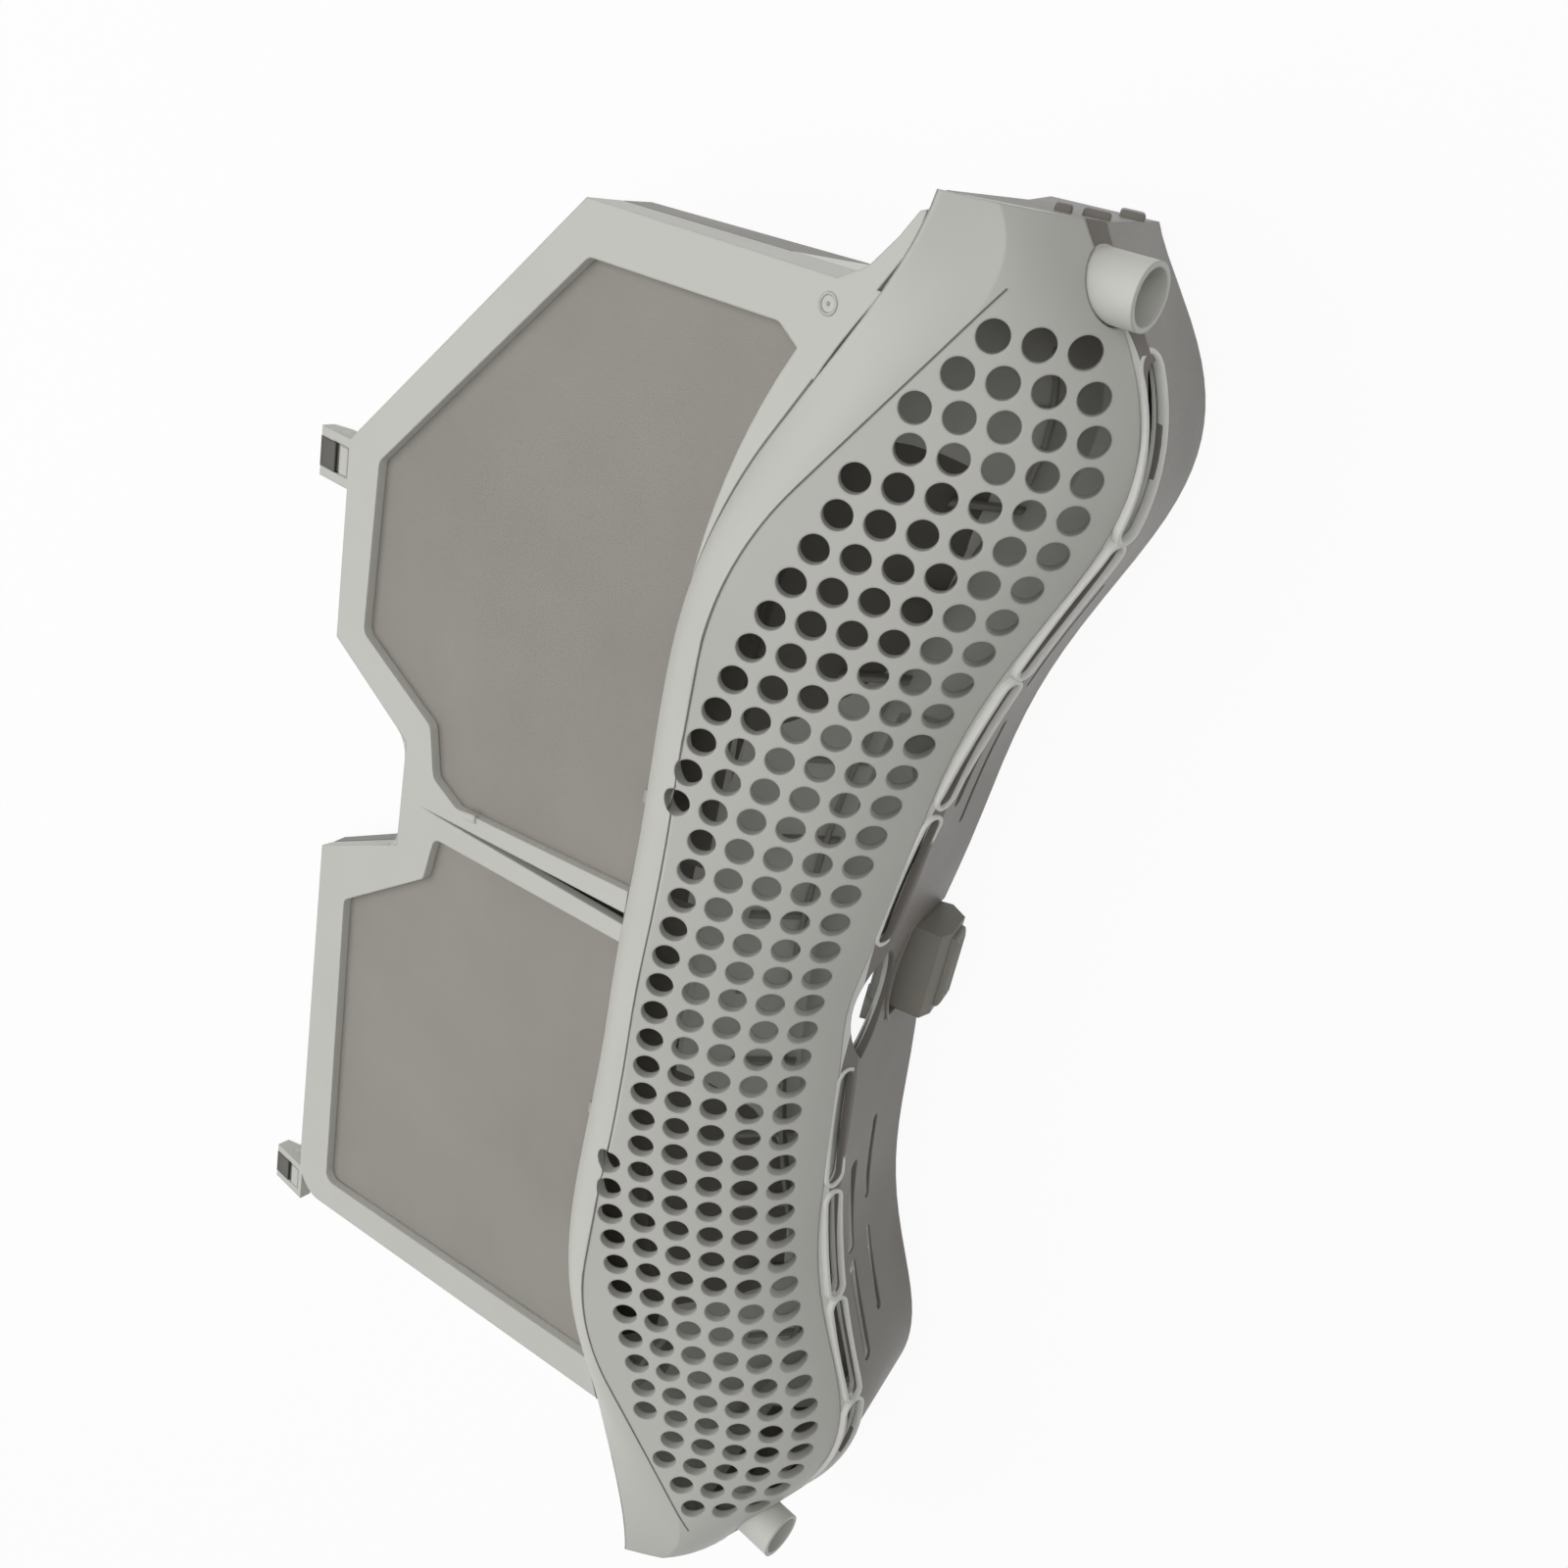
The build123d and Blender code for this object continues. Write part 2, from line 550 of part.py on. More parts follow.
with BuildPart() as front_screen_lower:
    with BuildSketch(leaf_plane.offset(LEAF_Z - PLATE - MESH_T)):
        add(window_lower.sketch)
        offset(amount=SCREEN_MARGIN, kind=Kind.INTERSECTION, mode=Mode.REPLACE)
    extrude(amount=MESH_T)
front_screen_lower.part.label = "front_screen_lower"
export_step(front_screen_lower.part, "parts/front_screen_lower.step")

with BuildPart() as back_screen_upper:
    mirror(front_screen_upper.part, about=split_plane)
back_screen_upper.part.label = "back_screen_upper"
export_step(back_screen_upper.part, "parts/back_screen_upper.step")

with BuildPart() as back_screen_lower:
    mirror(front_screen_lower.part, about=split_plane)
back_screen_lower.part.label = "back_screen_lower"
export_step(back_screen_lower.part, "parts/back_screen_lower.step")


# curved screens behind the air slots
with BuildPart() as deck_screen_left:
    for x in reversed(SCREEN_STATIONS):
        with BuildSketch(station(-x)):
            Polygon(*deck_screen_points(x), align=None)
    loft(ruled=True)
deck_screen_left.part.label = "deck_screen_left"
export_step(deck_screen_left.part, "parts/deck_screen_left.step")

with BuildPart() as deck_screen_right:
    for x in SCREEN_STATIONS:
        with BuildSketch(station(x)):
            Polygon(*deck_screen_points(x), align=None)
    loft(ruled=True)
deck_screen_right.part.label = "deck_screen_right"
export_step(deck_screen_right.part, "parts/deck_screen_right.step")

# latch lever on its cross pin
with BuildPart() as latch_lever:
    with BuildSketch(station(0)):
        with BuildLine():
            Polyline((16.0, -33.5), (25.0, -31.5), (27.5, -35.0), (29.5, -44.0), (26.0, -48.5),
                     (18.6, -48.5), (14.5, -38.0), close=True)
        make_face()
        with Locations((LATCH_PIN_S, LATCH_PIN_V)):
            Circle(LATCH_HUB_R)
    extrude(amount=LATCH_W / 2, both=True)
    with BuildSketch(station(0)):
        with Locations((LATCH_PIN_S, LATCH_PIN_V)):
            Circle(LATCH_PIN_R + RUN_FIT)
    extrude(amount=LATCH_W, both=True, mode=Mode.SUBTRACT)
latch_lever.part.label = "latch_lever"
export_step(latch_lever.part, "parts/latch_lever.step")

with BuildPart() as latch_pin:
    with BuildSketch(station(0)):
        with Locations((LATCH_PIN_S, LATCH_PIN_V)):
            Circle(LATCH_PIN_R)
    extrude(amount=LATCH_W / 2 + 4.0, both=True)
latch_pin.part.label = "latch_pin"
export_step(latch_pin.part, "parts/latch_pin.step")
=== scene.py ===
"""Looks of a folding lint filter: two screened leaves below a long perforated head."""

import json
import logging
import math
from collections.abc import Callable
from dataclasses import dataclass
from enum import Enum

import bmesh
import bpy
from mathutils import Matrix, Vector, noise

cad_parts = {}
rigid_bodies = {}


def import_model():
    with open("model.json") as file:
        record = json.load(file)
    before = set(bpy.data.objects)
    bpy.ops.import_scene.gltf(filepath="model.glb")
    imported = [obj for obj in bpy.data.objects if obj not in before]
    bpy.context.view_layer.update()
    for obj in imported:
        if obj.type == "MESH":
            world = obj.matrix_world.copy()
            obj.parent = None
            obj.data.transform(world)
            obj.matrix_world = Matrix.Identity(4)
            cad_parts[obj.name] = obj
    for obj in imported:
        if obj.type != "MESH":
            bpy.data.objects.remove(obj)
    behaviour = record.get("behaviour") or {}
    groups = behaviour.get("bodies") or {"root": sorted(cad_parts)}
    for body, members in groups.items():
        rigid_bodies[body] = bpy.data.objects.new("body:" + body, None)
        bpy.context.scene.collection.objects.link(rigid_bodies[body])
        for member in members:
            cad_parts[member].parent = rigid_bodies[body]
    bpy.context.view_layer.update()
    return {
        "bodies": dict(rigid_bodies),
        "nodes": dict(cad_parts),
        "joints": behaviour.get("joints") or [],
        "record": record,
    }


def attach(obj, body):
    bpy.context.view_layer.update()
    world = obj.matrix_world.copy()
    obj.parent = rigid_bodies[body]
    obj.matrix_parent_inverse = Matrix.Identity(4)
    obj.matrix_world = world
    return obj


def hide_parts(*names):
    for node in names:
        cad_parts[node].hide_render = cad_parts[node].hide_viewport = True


LOG = logging.getLogger("lint_filter")
MM = 0.001
MERGE = 0.00001
WHITE = (1.0, 1.0, 1.0, 1.0)

Triple = tuple[float, float, float]
Pair = tuple[float, float]
Paint = tuple[float, float, float, float]
Route = Callable[[float], Vector]
Place = Matrix | Callable[[Vector], Vector]


class Body(Enum):
    """Rigid bodies that a piece can ride on."""

    BACK = "back_half"
    FRONT = "front_half"
    LATCH = "latch"


class Slot(Enum):
    """Material slots of the record."""

    FRONT = "front_plastic"
    BACK = "back_plastic"
    CLOTH = "screen_cloth"
    STEEL = "pin_steel"
    LATCH = "latch_plastic"


class Pick(Enum):
    """Kinds of mesh element, with the least reach along an axis of one that is picked."""

    VERT = MERGE
    EDGE = 0.99
    FACE = 0.9


@dataclass(frozen=True)
class LeafAxes:
    """Frame of the front leaf: x along the head, y up the leaf, z out of the leaf.

    Attributes:
        origin: Origin in the part's frame, in metres.
        tilt: Rise of the leaf towards the head, in degrees.
        ring_x: Distance of the locating rings from the middle, in millimetres.
        ring_z: Height of their axes, in millimetres.
        ring_r: Radius within which a face belongs to a ring, in millimetres.
        ring_foot: Place y where they leave the wall, in millimetres.
    """

    origin: Vector = Vector((0.0, 0.062115, 0.055276))
    tilt: float = 22.0
    ring_x: float = 165.0
    ring_z: float = -14.0
    ring_r: float = 6.5
    ring_foot: float = 10.0

    def turn(self) -> Matrix:
        """Rotation from leaf directions to the part's directions."""
        return Matrix.Rotation(math.radians(self.tilt), 3, "X")

    def point(self, x: float, y: float, z: float) -> Vector:
        """Leaf coordinates in millimetres as a point in metres."""
        return self.origin + self.turn() @ (Vector((x, y, z)) * MM)

    def direction(self, x: float, y: float, z: float) -> Vector:
        """Leaf direction as a unit vector of the part's frame."""
        return (self.turn() @ Vector((x, y, z))).normalized()

    def near_rings(self, s: "Shader") -> "Val":
        """One on the two locating rings, which keep a paler tone than the wall, whose colour is
        darkened with painted shade.

        Args:
            s: Shader that the nodes go into.

        Returns:
            The mask.
        """
        x, y, z = (axis * (1.0 / MM) for axis in s.axes())
        base, tilt = self.origin / MM, math.radians(self.tilt)
        y, z = y - base.y, z - base.z
        along = y * math.cos(tilt) + z * math.sin(tilt)
        off = z * math.cos(tilt) - y * math.sin(tilt) - self.ring_z
        side = abs(x) - self.ring_x
        return ((side * side + off * off).root() < self.ring_r) * (along > self.ring_foot)


@dataclass(frozen=True)
class Head:
    """Curved head: x along it, s out from the lip datum, v along the face normal, in millimetres.

    Attributes:
        waist: Radius of the waist arc.
        hump: Radius of the two hump arcs.
        hump_x: Place of the humps.
        end_turn: Direction of the straight ends, in degrees.
        lean: Tilt of the face normal, in degrees.
        half: Half the length of the head.
        roll: Upper edge of the deck wall, as (s, v).
        toe: Lower edge of the deck wall, as (s, v).
        floor: Height v of the inner floor below the lip datum.
        floor_rise: Rise of the inner floor towards the leaves.
        skin: Depth within the wall where inside and outside part.
        floor_skin: The same depth within the floor.
    """

    waist: float = 290.0
    hump: float = 45.0
    hump_x: float = 130.0
    end_turn: float = 35.0
    lean: float = 6.6
    half: float = 175.0
    roll: Pair = (12.2, -13.0)
    toe: Pair = (22.5, -50.0)
    floor: float = -50.3
    floor_rise: float = 0.53
    skin: float = 1.1
    floor_skin: float = 1.0

    def middle(self) -> float:
        """Shift of the hump arcs' centres."""
        return self.waist - math.sqrt((self.waist + self.hump) ** 2 - self.hump_x ** 2)

    def shift(self, x: float) -> float:
        """Sideways place u of the lip datum at x."""
        a, turn = abs(x), math.radians(self.end_turn)
        if a <= self.waist * self.hump_x / (self.waist + self.hump):
            return self.waist - math.sqrt(self.waist ** 2 - a * a)
        if a <= self.hump_x + self.hump * math.sin(turn):
            return self.middle() + math.sqrt(self.hump ** 2 - (a - self.hump_x) ** 2)
        return (self.middle() + self.hump * math.cos(turn)
                - (a - self.hump_x - self.hump * math.sin(turn)) * math.tan(turn))

    def point(self, x: float, s: float, v: float) -> Vector:
        """Head coordinates as a point in metres."""
        u, lean = self.shift(x) + s, math.radians(self.lean)
        base = LeafAxes().origin
        return base + MM * Vector((x, u * math.cos(lean) + v * math.sin(lean),
                                   v * math.cos(lean) - u * math.sin(lean)))

    def wall(self, x: float, drop: float) -> Matrix:
        """Frame on the deck wall, a distance down from its upper edge.

        Args:
            x: Place along the head.
            drop: Distance down the wall, in millimetres.

        Returns:
            Axes along the wall, up the wall and out of it, with their origin on its face.
        """
        ds, dv = self.toe[0] - self.roll[0], self.toe[1] - self.roll[1]
        size = math.hypot(ds, dv)
        s, v = self.roll[0] + ds * drop / size, self.roll[1] + dv * drop / size
        spot, step = self.point(x, s, v), 0.5
        along = (self.point(x + step, s, v) - self.point(x - step, s, v)).normalized()
        up = (self.point(x, s - ds / size, v - dv / size) - spot).normalized()
        out = along.cross(up).normalized()
        up = out.cross(along)
        turn = Matrix((along, up, out)).transposed().to_4x4()
        return Matrix.Translation(spot) @ turn

    def inside(self, s: "Shader") -> "Val":
        """One on the faces that look into the chamber, which take painted light, zero outside,
        parted within the wall.

        Args:
            s: Shader that the nodes go into.

        Returns:
            The mask.
        """
        x, y, z = (axis * (1.0 / MM) for axis in s.axes())
        base, lean = LeafAxes().origin / MM, math.radians(self.lean)
        y, z, a = y - base.y, z - base.z, abs(x)
        u = y * math.cos(lean) - z * math.sin(lean)
        v = y * math.sin(lean) + z * math.cos(lean)
        meet = self.waist * self.hump_x / (self.waist + self.hump)
        waist = self.waist - (self.waist ** 2 - a * a).root()
        hump = (self.hump ** 2 - (a - self.hump_x) * (a - self.hump_x)).root() + self.middle()
        t = waist + (hump - waist) * (a > meet)
        slope = (self.toe[0] - self.roll[0]) / (self.roll[1] - self.toe[1])
        wall = u - t < (self.roll[1] - v) * slope + (self.roll[0] - self.skin)
        floor = v > (t - u).positive() * self.floor_rise + (self.floor - self.floor_skin)
        return wall * floor * (a < self.half - self.skin)


def metres(*sides: float) -> tuple[float, ...]:
    """Millimetres as metres."""
    return tuple(side * MM for side in sides)


class Bench:
    """Modelling by hand: primitives, selections in edit mode and finishing modifiers."""

    @staticmethod
    def only(piece: bpy.types.Object) -> None:
        """Selects one piece alone and makes it the active one."""
        bpy.ops.object.select_all(action="DESELECT")
        piece.select_set(True)
        bpy.context.view_layer.objects.active = piece

    @staticmethod
    def start(kind: str, name: str, **sizes: object) -> bpy.types.Object:
        """Adds a primitive with nothing else selected and opens it in edit mode.

        Args:
            kind: Primitive operator, such as cube or cylinder.
            name: Name of the piece.
            sizes: Arguments of the operator, in metres.

        Returns:
            The new object, in edit mode.
        """
        bpy.ops.object.select_all(action="DESELECT")
        getattr(bpy.ops.mesh, f"primitive_{kind}_add")(**sizes)
        piece = bpy.context.object
        piece.name = name
        bpy.ops.object.transform_apply(location=True, rotation=True, scale=True)
        bpy.ops.object.mode_set(mode="EDIT")
        return piece

    @staticmethod
    def pick(piece: bpy.types.Object, kind: Pick, axis: str, sign: int = 0) -> None:
        """Selects faces that look along an axis, edges that run along it or vertices off it.

        Args:
            piece: Object in edit mode.
            kind: Kind of element.
            axis: Name of the axis.
            sign: 1 or -1 for one way along it, 0 for both.
        """
        bpy.ops.mesh.select_mode(type=kind.name)
        bpy.ops.mesh.select_all(action="DESELECT")
        mesh = bmesh.from_edit_mesh(piece.data)
        if kind is Pick.FACE:
            rows = [(face, face.normal) for face in mesh.faces]
        elif kind is Pick.EDGE:
            rows = [(edge, (edge.verts[1].co - edge.verts[0].co).normalized())
                    for edge in mesh.edges]
        else:
            rows = [(vertex, vertex.co) for vertex in mesh.verts]
        for item, way in rows:
            reach = getattr(way, axis)
            if (reach * sign if sign else abs(reach)) > kind.value:
                item.select_set(True)
        mesh.select_flush_mode()
        bmesh.update_edit_mesh(piece.data)

    @staticmethod
    def inset(*steps: Pair) -> None:
        """Insets the picked faces step by step, by thickness and depth in millimetres."""
        for thickness, depth in steps:
            bpy.ops.mesh.inset(thickness=thickness * MM, depth=depth * MM)

    @staticmethod
    def bar(name: str, axis: str, cuts: int,
            sides: tuple[float, ...] = (1.0, 1.0, 1.0)) -> bpy.types.Object:
        """Block that is cut across one axis, so that it can follow a curve.

        Args:
            name: Name of the piece.
            axis: Name of the axis.
            cuts: Number of cuts.
            sides: Sides of the block, in metres.

        Returns:
            The block, in object mode.
        """
        piece = Bench.start("cube", name, size=1.0, scale=sides)
        Bench.pick(piece, Pick.EDGE, axis)
        bpy.ops.mesh.subdivide(number_cuts=cuts)
        Bench.close()
        return piece

    @staticmethod
    def hollow(piece: bpy.types.Object, rim: float) -> None:
        """Opens a cylinder in edit mode from end to end and leaves a rim, in millimetres."""
        Bench.pick(piece, Pick.FACE, "z")
        Bench.inset((rim, 0.0))
        bpy.ops.mesh.delete(type="FACE")
        bpy.ops.mesh.select_mode(type="EDGE")
        bpy.ops.mesh.select_all(action="DESELECT")
        mesh = bmesh.from_edit_mesh(piece.data)
        for edge in mesh.edges:
            edge.select_set(edge.is_boundary)
        bmesh.update_edit_mesh(piece.data)
        bpy.ops.mesh.bridge_edge_loops()

    @staticmethod
    def close() -> None:
        """Leaves edit mode."""
        bpy.ops.object.mode_set(mode="OBJECT")

    @staticmethod
    def modify(piece: bpy.types.Object, kind: str, **settings: object) -> None:
        """Adds a modifier and applies it.

        Args:
            piece: Object in object mode.
            kind: Type of the modifier.
            settings: Its properties.
        """
        Bench.only(piece)
        modifier = piece.modifiers.new(kind.lower(), kind)
        for key, value in settings.items():
            setattr(modifier, key, value)
        bpy.ops.object.modifier_apply(modifier=modifier.name)

    @staticmethod
    def ease(piece: bpy.types.Object, width: float, segments: int = 2,
             least: float = 30.0) -> None:
        """Bevels the sharp edges.

        Args:
            piece: Object in object mode.
            width: Width of the bevel, in millimetres.
            segments: Steps across it.
            least: Angle, in degrees, from which an edge is sharp.
        """
        Bench.modify(piece, "BEVEL", width=width * MM, segments=segments, limit_method="ANGLE",
                     angle_limit=math.radians(least))

    @staticmethod
    def smooth(piece: bpy.types.Object, degrees: float = 35.0) -> None:
        """Shades the piece smooth below an angle."""
        Bench.only(piece)
        bpy.ops.object.shade_smooth_by_angle(angle=math.radians(degrees))

    @staticmethod
    def seat(piece: bpy.types.Object, place: Place) -> None:
        """Moves every vertex to its place on the part.

        Args:
            piece: Object in object mode, modelled flat at the origin.
            place: Matrix, or function from the flat point in metres to the point on the part.
        """
        for vertex in piece.data.vertices:
            vertex.co = place @ vertex.co if isinstance(place, Matrix) else place(vertex.co.copy())
        piece.data.update()

    @staticmethod
    def outward(piece: bpy.types.Object) -> None:
        """Merges doubles and turns the faces outwards."""
        Bench.only(piece)
        bpy.ops.object.mode_set(mode="EDIT")
        bpy.ops.mesh.select_all(action="SELECT")
        bpy.ops.mesh.remove_doubles(threshold=MERGE)
        bpy.ops.mesh.normals_make_consistent(inside=False)
        Bench.close()

    @staticmethod
    def join(name: str, parts: list[bpy.types.Object]) -> bpy.types.Object:
        """Joins pieces into one named object."""
        bpy.ops.object.select_all(action="DESELECT")
        for part in parts:
            part.select_set(True)
        bpy.context.view_layer.objects.active = parts[0]
        bpy.ops.object.join()
        parts[0].name = name
        return parts[0]


@dataclass(frozen=True)
class Block:
    """Small moulded block with a stepped face.

    Attributes:
        sides: Sides along x, y and z, in millimetres.
        steps: Thickness and depth of each inset of the stepped face, in millimetres.
        edge: Width of the bevel, in millimetres.
        segments: Steps across the bevel.
        axis: Axis that the stepped face looks along.
        sign: Way along it, or 0 for a stepped face at both ends.
    """

    sides: Triple
    steps: tuple[Pair, ...]
    edge: float
    segments: int = 2
    axis: str = "z"
    sign: int = 1

    def make(self, name: str, place: Matrix) -> bpy.types.Object:
        """Models the block and seats it on the part."""
        piece = Bench.start("cube", name, size=1.0, scale=metres(*self.sides))
        Bench.pick(piece, Pick.FACE, self.axis, self.sign)
        Bench.inset(*self.steps)
        Bench.close()
        Bench.ease(piece, self.edge, self.segments)
        Bench.smooth(piece)
        Bench.seat(piece, place)
        return piece


class Val:
    """A shader socket that takes part in Python arithmetic.

    Attributes:
        tree: Node tree that new Math nodes go into.
        socket: Output socket that carries the value.
    """

    def __init__(self, tree: bpy.types.NodeTree, socket: bpy.types.NodeSocket) -> None:
        """Wraps a socket."""
        self.tree = tree
        self.socket = socket

    def _math(self, operation: str, *values: "Val | float") -> "Val":
        """Adds a Math node.

        Args:
            operation: Blender's name of the operation.
            values: Sockets or numbers for its inputs.

        Returns:
            The node's result.
        """
        node = self.tree.nodes.new("ShaderNodeMath")
        node.operation = operation
        for place, value in zip(node.inputs, values):
            if isinstance(value, Val):
                self.tree.links.new(value.socket, place)
            else:
                place.default_value = float(value)
        return Val(self.tree, node.outputs[0])

    def __add__(self, other: "Val | float") -> "Val":
        """Sum."""
        return self._math("ADD", self, other)

    __radd__ = __add__

    def __mul__(self, other: "Val | float") -> "Val":
        """Product."""
        return self._math("MULTIPLY", self, other)

    __rmul__ = __mul__

    def __sub__(self, other: "Val | float") -> "Val":
        """Difference."""
        return self._math("SUBTRACT", self, other)

    def __rsub__(self, other: float) -> "Val":
        """Difference from a number."""
        return self._math("SUBTRACT", other, self)

    def __gt__(self, other: "Val | float") -> "Val":
        """One where greater."""
        return self._math("GREATER_THAN", self, other)

    def __lt__(self, other: "Val | float") -> "Val":
        """One where smaller."""
        return self._math("LESS_THAN", self, other)

    def __pow__(self, other: float) -> "Val":
        """Power."""
        return self._math("POWER", self, other)

    def __abs__(self) -> "Val":
        """Absolute value."""
        return self._math("ABSOLUTE", self)

    def root(self) -> "Val":
        """Square root of the positive part."""
        return self._math("SQRT", self.positive())

    def positive(self) -> "Val":
        """Value, or zero where it is negative."""
        return self._math("MAXIMUM", self, 0.0)

    def sine(self) -> "Val":
        """Sine of the value."""
        return self._math("SINE", self)

    def clamp(self) -> "Val":
        """Value limited to the range from 0 to 1."""
        return self._math("MINIMUM", self.positive(), 1.0)


class Tree:
    """Node tree of a material or of the world, built by expressions."""

    def __init__(self, tree: bpy.types.NodeTree) -> None:
        """Wraps a node tree and empties it."""
        self.tree = tree
        self.tree.nodes.clear()

    def node(self, kind: str, settings: dict | None = None, result: int | str = 0,
             **values: object) -> Val | None:
        """Adds a node.

        Args:
            kind: Type of the node.
            settings: Properties that are set before the inputs.
            result: Output to return, by number or name.
            values: Inputs by name, with underscores for blanks, or by number as in0 and in1.

        Returns:
            The chosen output, or nothing where the node has none.
        """
        node = self.tree.nodes.new(kind)
        for key, value in (settings or {}).items():
            setattr(node, key, value)
        for key, value in values.items():
            number = key.removeprefix("in")
            place = node.inputs[int(number) if number.isdigit() else key.replace("_", " ")]
            if isinstance(value, Val):
                self.tree.links.new(value.socket, place)
            else:
                place.default_value = value
        return Val(self.tree, node.outputs[result]) if node.outputs else None

    def sees_background(self) -> Val:
        """One on camera, glossy and transmission rays, which meet the white background."""
        rays = ("Is Camera Ray", "Is Glossy Ray", "Is Transmission Ray")
        camera, glossy, through = (self.node("ShaderNodeLightPath", result=ray) for ray in rays)
        return (camera + glossy + through).clamp()


@dataclass(frozen=True)
class Grain:
    """Noise over a surface.

    Attributes:
        scale: Cells per metre.
        detail: Number of finer layers.
        rough: Strength of those layers.
    """

    scale: float
    detail: float
    rough: float = 0.55


class Shader(Tree):
    """Node tree of one material."""

    def __init__(self, name: str) -> None:
        """Makes a material with an empty tree."""
        self.material = bpy.data.materials.new(name)
        self.material.use_nodes = True
        super().__init__(self.material.node_tree)

    def place(self) -> Val:
        """Object coordinates."""
        return self.node("ShaderNodeTexCoord", result="Object")

    def axes(self) -> tuple[Val, ...]:
        """Object coordinates, one by one."""
        first = self.node("ShaderNodeSeparateXYZ", Vector=self.place())
        return tuple(Val(self.tree, out) for out in first.socket.node.outputs)

    def noise(self, grain: Grain) -> Val:
        """Noise on Object coordinates, around 0.5."""
        return self.node("ShaderNodeTexNoise", Vector=self.place(), Scale=grain.scale,
                         Detail=grain.detail, Roughness=grain.rough)

    def mix(self, factor: Val, a: Val | Paint, b: Val | Paint) -> Val:
        """Mix of two colours.

        Args:
            factor: Share of the second colour.
            a: First colour.
            b: Second colour.

        Returns:
            The mixed colour.
        """
        return self.node("ShaderNodeMix", {"data_type": "RGBA"}, 2, in0=factor, in6=a, in7=b)

    def finish(self, surface: Val) -> bpy.types.Material:
        """Ends the tree in a surface and returns its material."""
        self.node("ShaderNodeOutputMaterial", Surface=surface)
        return self.material


def linear(*display: float) -> Paint:
    """Colour of 8-bit display values as linear light, by the sRGB curve."""
    channels = (value / 255.0 for value in display)
    return (*(c / 12.92 if c <= 0.04045 else ((c + 0.055) / 1.055) ** 2.4 for c in channels), 1.0)


@dataclass(frozen=True)
class Plastic:
    """Moulded satin plastic, its colours as display values.

    Attributes:
        worn: Colour of duller areas.
        inner: Lighter colour of the faces that look into the chamber, painted light where little
            light reaches.
        core: Place y, in millimetres, below which the inner colour shows on the latch as painted
            light.
        edge: Radius that softens moulded edges, in metres.
        patches: Start, gain and share of the cloud's patches in the wear.
        drifting: Share of the slow drift in the wear.
        gloss: Spread of the roughness over cloud and grain.
        fine_relief: Share of the grain in the relief.
    """

    name: str
    tone: Triple
    worn: Triple
    roughness: float = 0.42
    inner: Triple | None = None
    ring: Triple | None = None
    core: float | None = None
    edge: float = 0.0007
    cloud: Grain = Grain(28.0, 3.0)
    grain: Grain = Grain(900.0, 2.0)
    drift: Grain = Grain(7.0, 5.0, 0.6)
    dimple: Grain = Grain(260.0, 2.0)
    patches: Triple = (0.35, 1.4, 0.55)
    drifting: float = 0.45
    gloss: Pair = (0.16, 0.10)
    fine_relief: float = 0.6

    def build(self) -> bpy.types.Material:
        """Makes the material."""
        s = Shader(self.name)
        cloud, grain = s.noise(self.cloud), s.noise(self.grain)
        start, gain, share = self.patches
        wear = (((cloud - start) * gain).clamp() * share
                + (s.noise(self.drift) * self.drifting).clamp())
        colour = s.mix(wear, linear(*self.tone), linear(*self.worn))
        # Painted light: faces that look into the chamber, or the latch below core, take the
        # lighter inner colour.
        if self.inner:
            mask = Head().inside(s) if self.core is None else s.axes()[1] < self.core * MM
            colour = s.mix(mask, colour, linear(*self.inner))
        # The rings keep a paler tone, while the rest of the back plastic is darkened with painted
        # shade.
        if self.ring:
            colour = s.mix(LeafAxes().near_rings(s), colour, linear(*self.ring))
        broad, fine = self.gloss
        rough = cloud * broad + grain * fine + (self.roughness - (broad + fine) / 2)
        height = grain * self.fine_relief + s.noise(self.dimple) * (1 - self.fine_relief)
        normal = s.node("ShaderNodeBump", Strength=0.12, Distance=0.00012, Height=height,
                        Normal=s.node("ShaderNodeBevel", {"samples": 4}, Radius=self.edge))
        return s.finish(s.node("ShaderNodeBsdfPrincipled", Base_Color=colour,
                               Roughness=rough.clamp(), Normal=normal,
                               Specular_IOR_Level=0.2))


@dataclass(frozen=True)
class Cloth:
    """Fine woven screen, with threads along two directions of the leaf.

    Attributes:
        pitch: Distance between threads, in metres.
        weft: Threads of the second direction per thread of the first.
        crown: Power that rounds the threads.
        shares: Shares of weave and haze in the thread colour, and its start.
        gloss: Spread and least value of the roughness.
    """

    name: str
    thread: Triple
    pore: Triple
    pitch: float = 0.00045
    weft: float = 1.08
    crown: float = 0.7
    haze: Grain = Grain(16.0, 4.0)
    cloud: Grain = Grain(55.0, 3.0)
    shares: Triple = (0.35, 0.8, -0.1)
    gloss: Pair = (0.2, 0.55)

    def build(self) -> bpy.types.Material:
        """Makes the material."""
        s = Shader(self.name)
        x, y, _ = s.axes()
        turn = 2.0 * math.pi / self.pitch
        warp = (x * turn).sine() * 0.5 + 0.5
        weft = (y * (turn * self.weft)).sine() * 0.5 + 0.5
        weave = (warp * weft) ** self.crown
        by_weave, by_haze, start = self.shares
        share = (weave * by_weave + s.noise(self.haze) * by_haze + start).clamp()
        spread, least = self.gloss
        return s.finish(s.node(
            "ShaderNodeBsdfPrincipled",
            Base_Color=s.mix(share, linear(*self.pore), linear(*self.thread)),
            Roughness=(s.noise(self.cloud) * spread + least).clamp(),
            Normal=s.node("ShaderNodeBump", Strength=0.25, Distance=0.0001, Height=weave),
            Sheen_Weight=0.15))


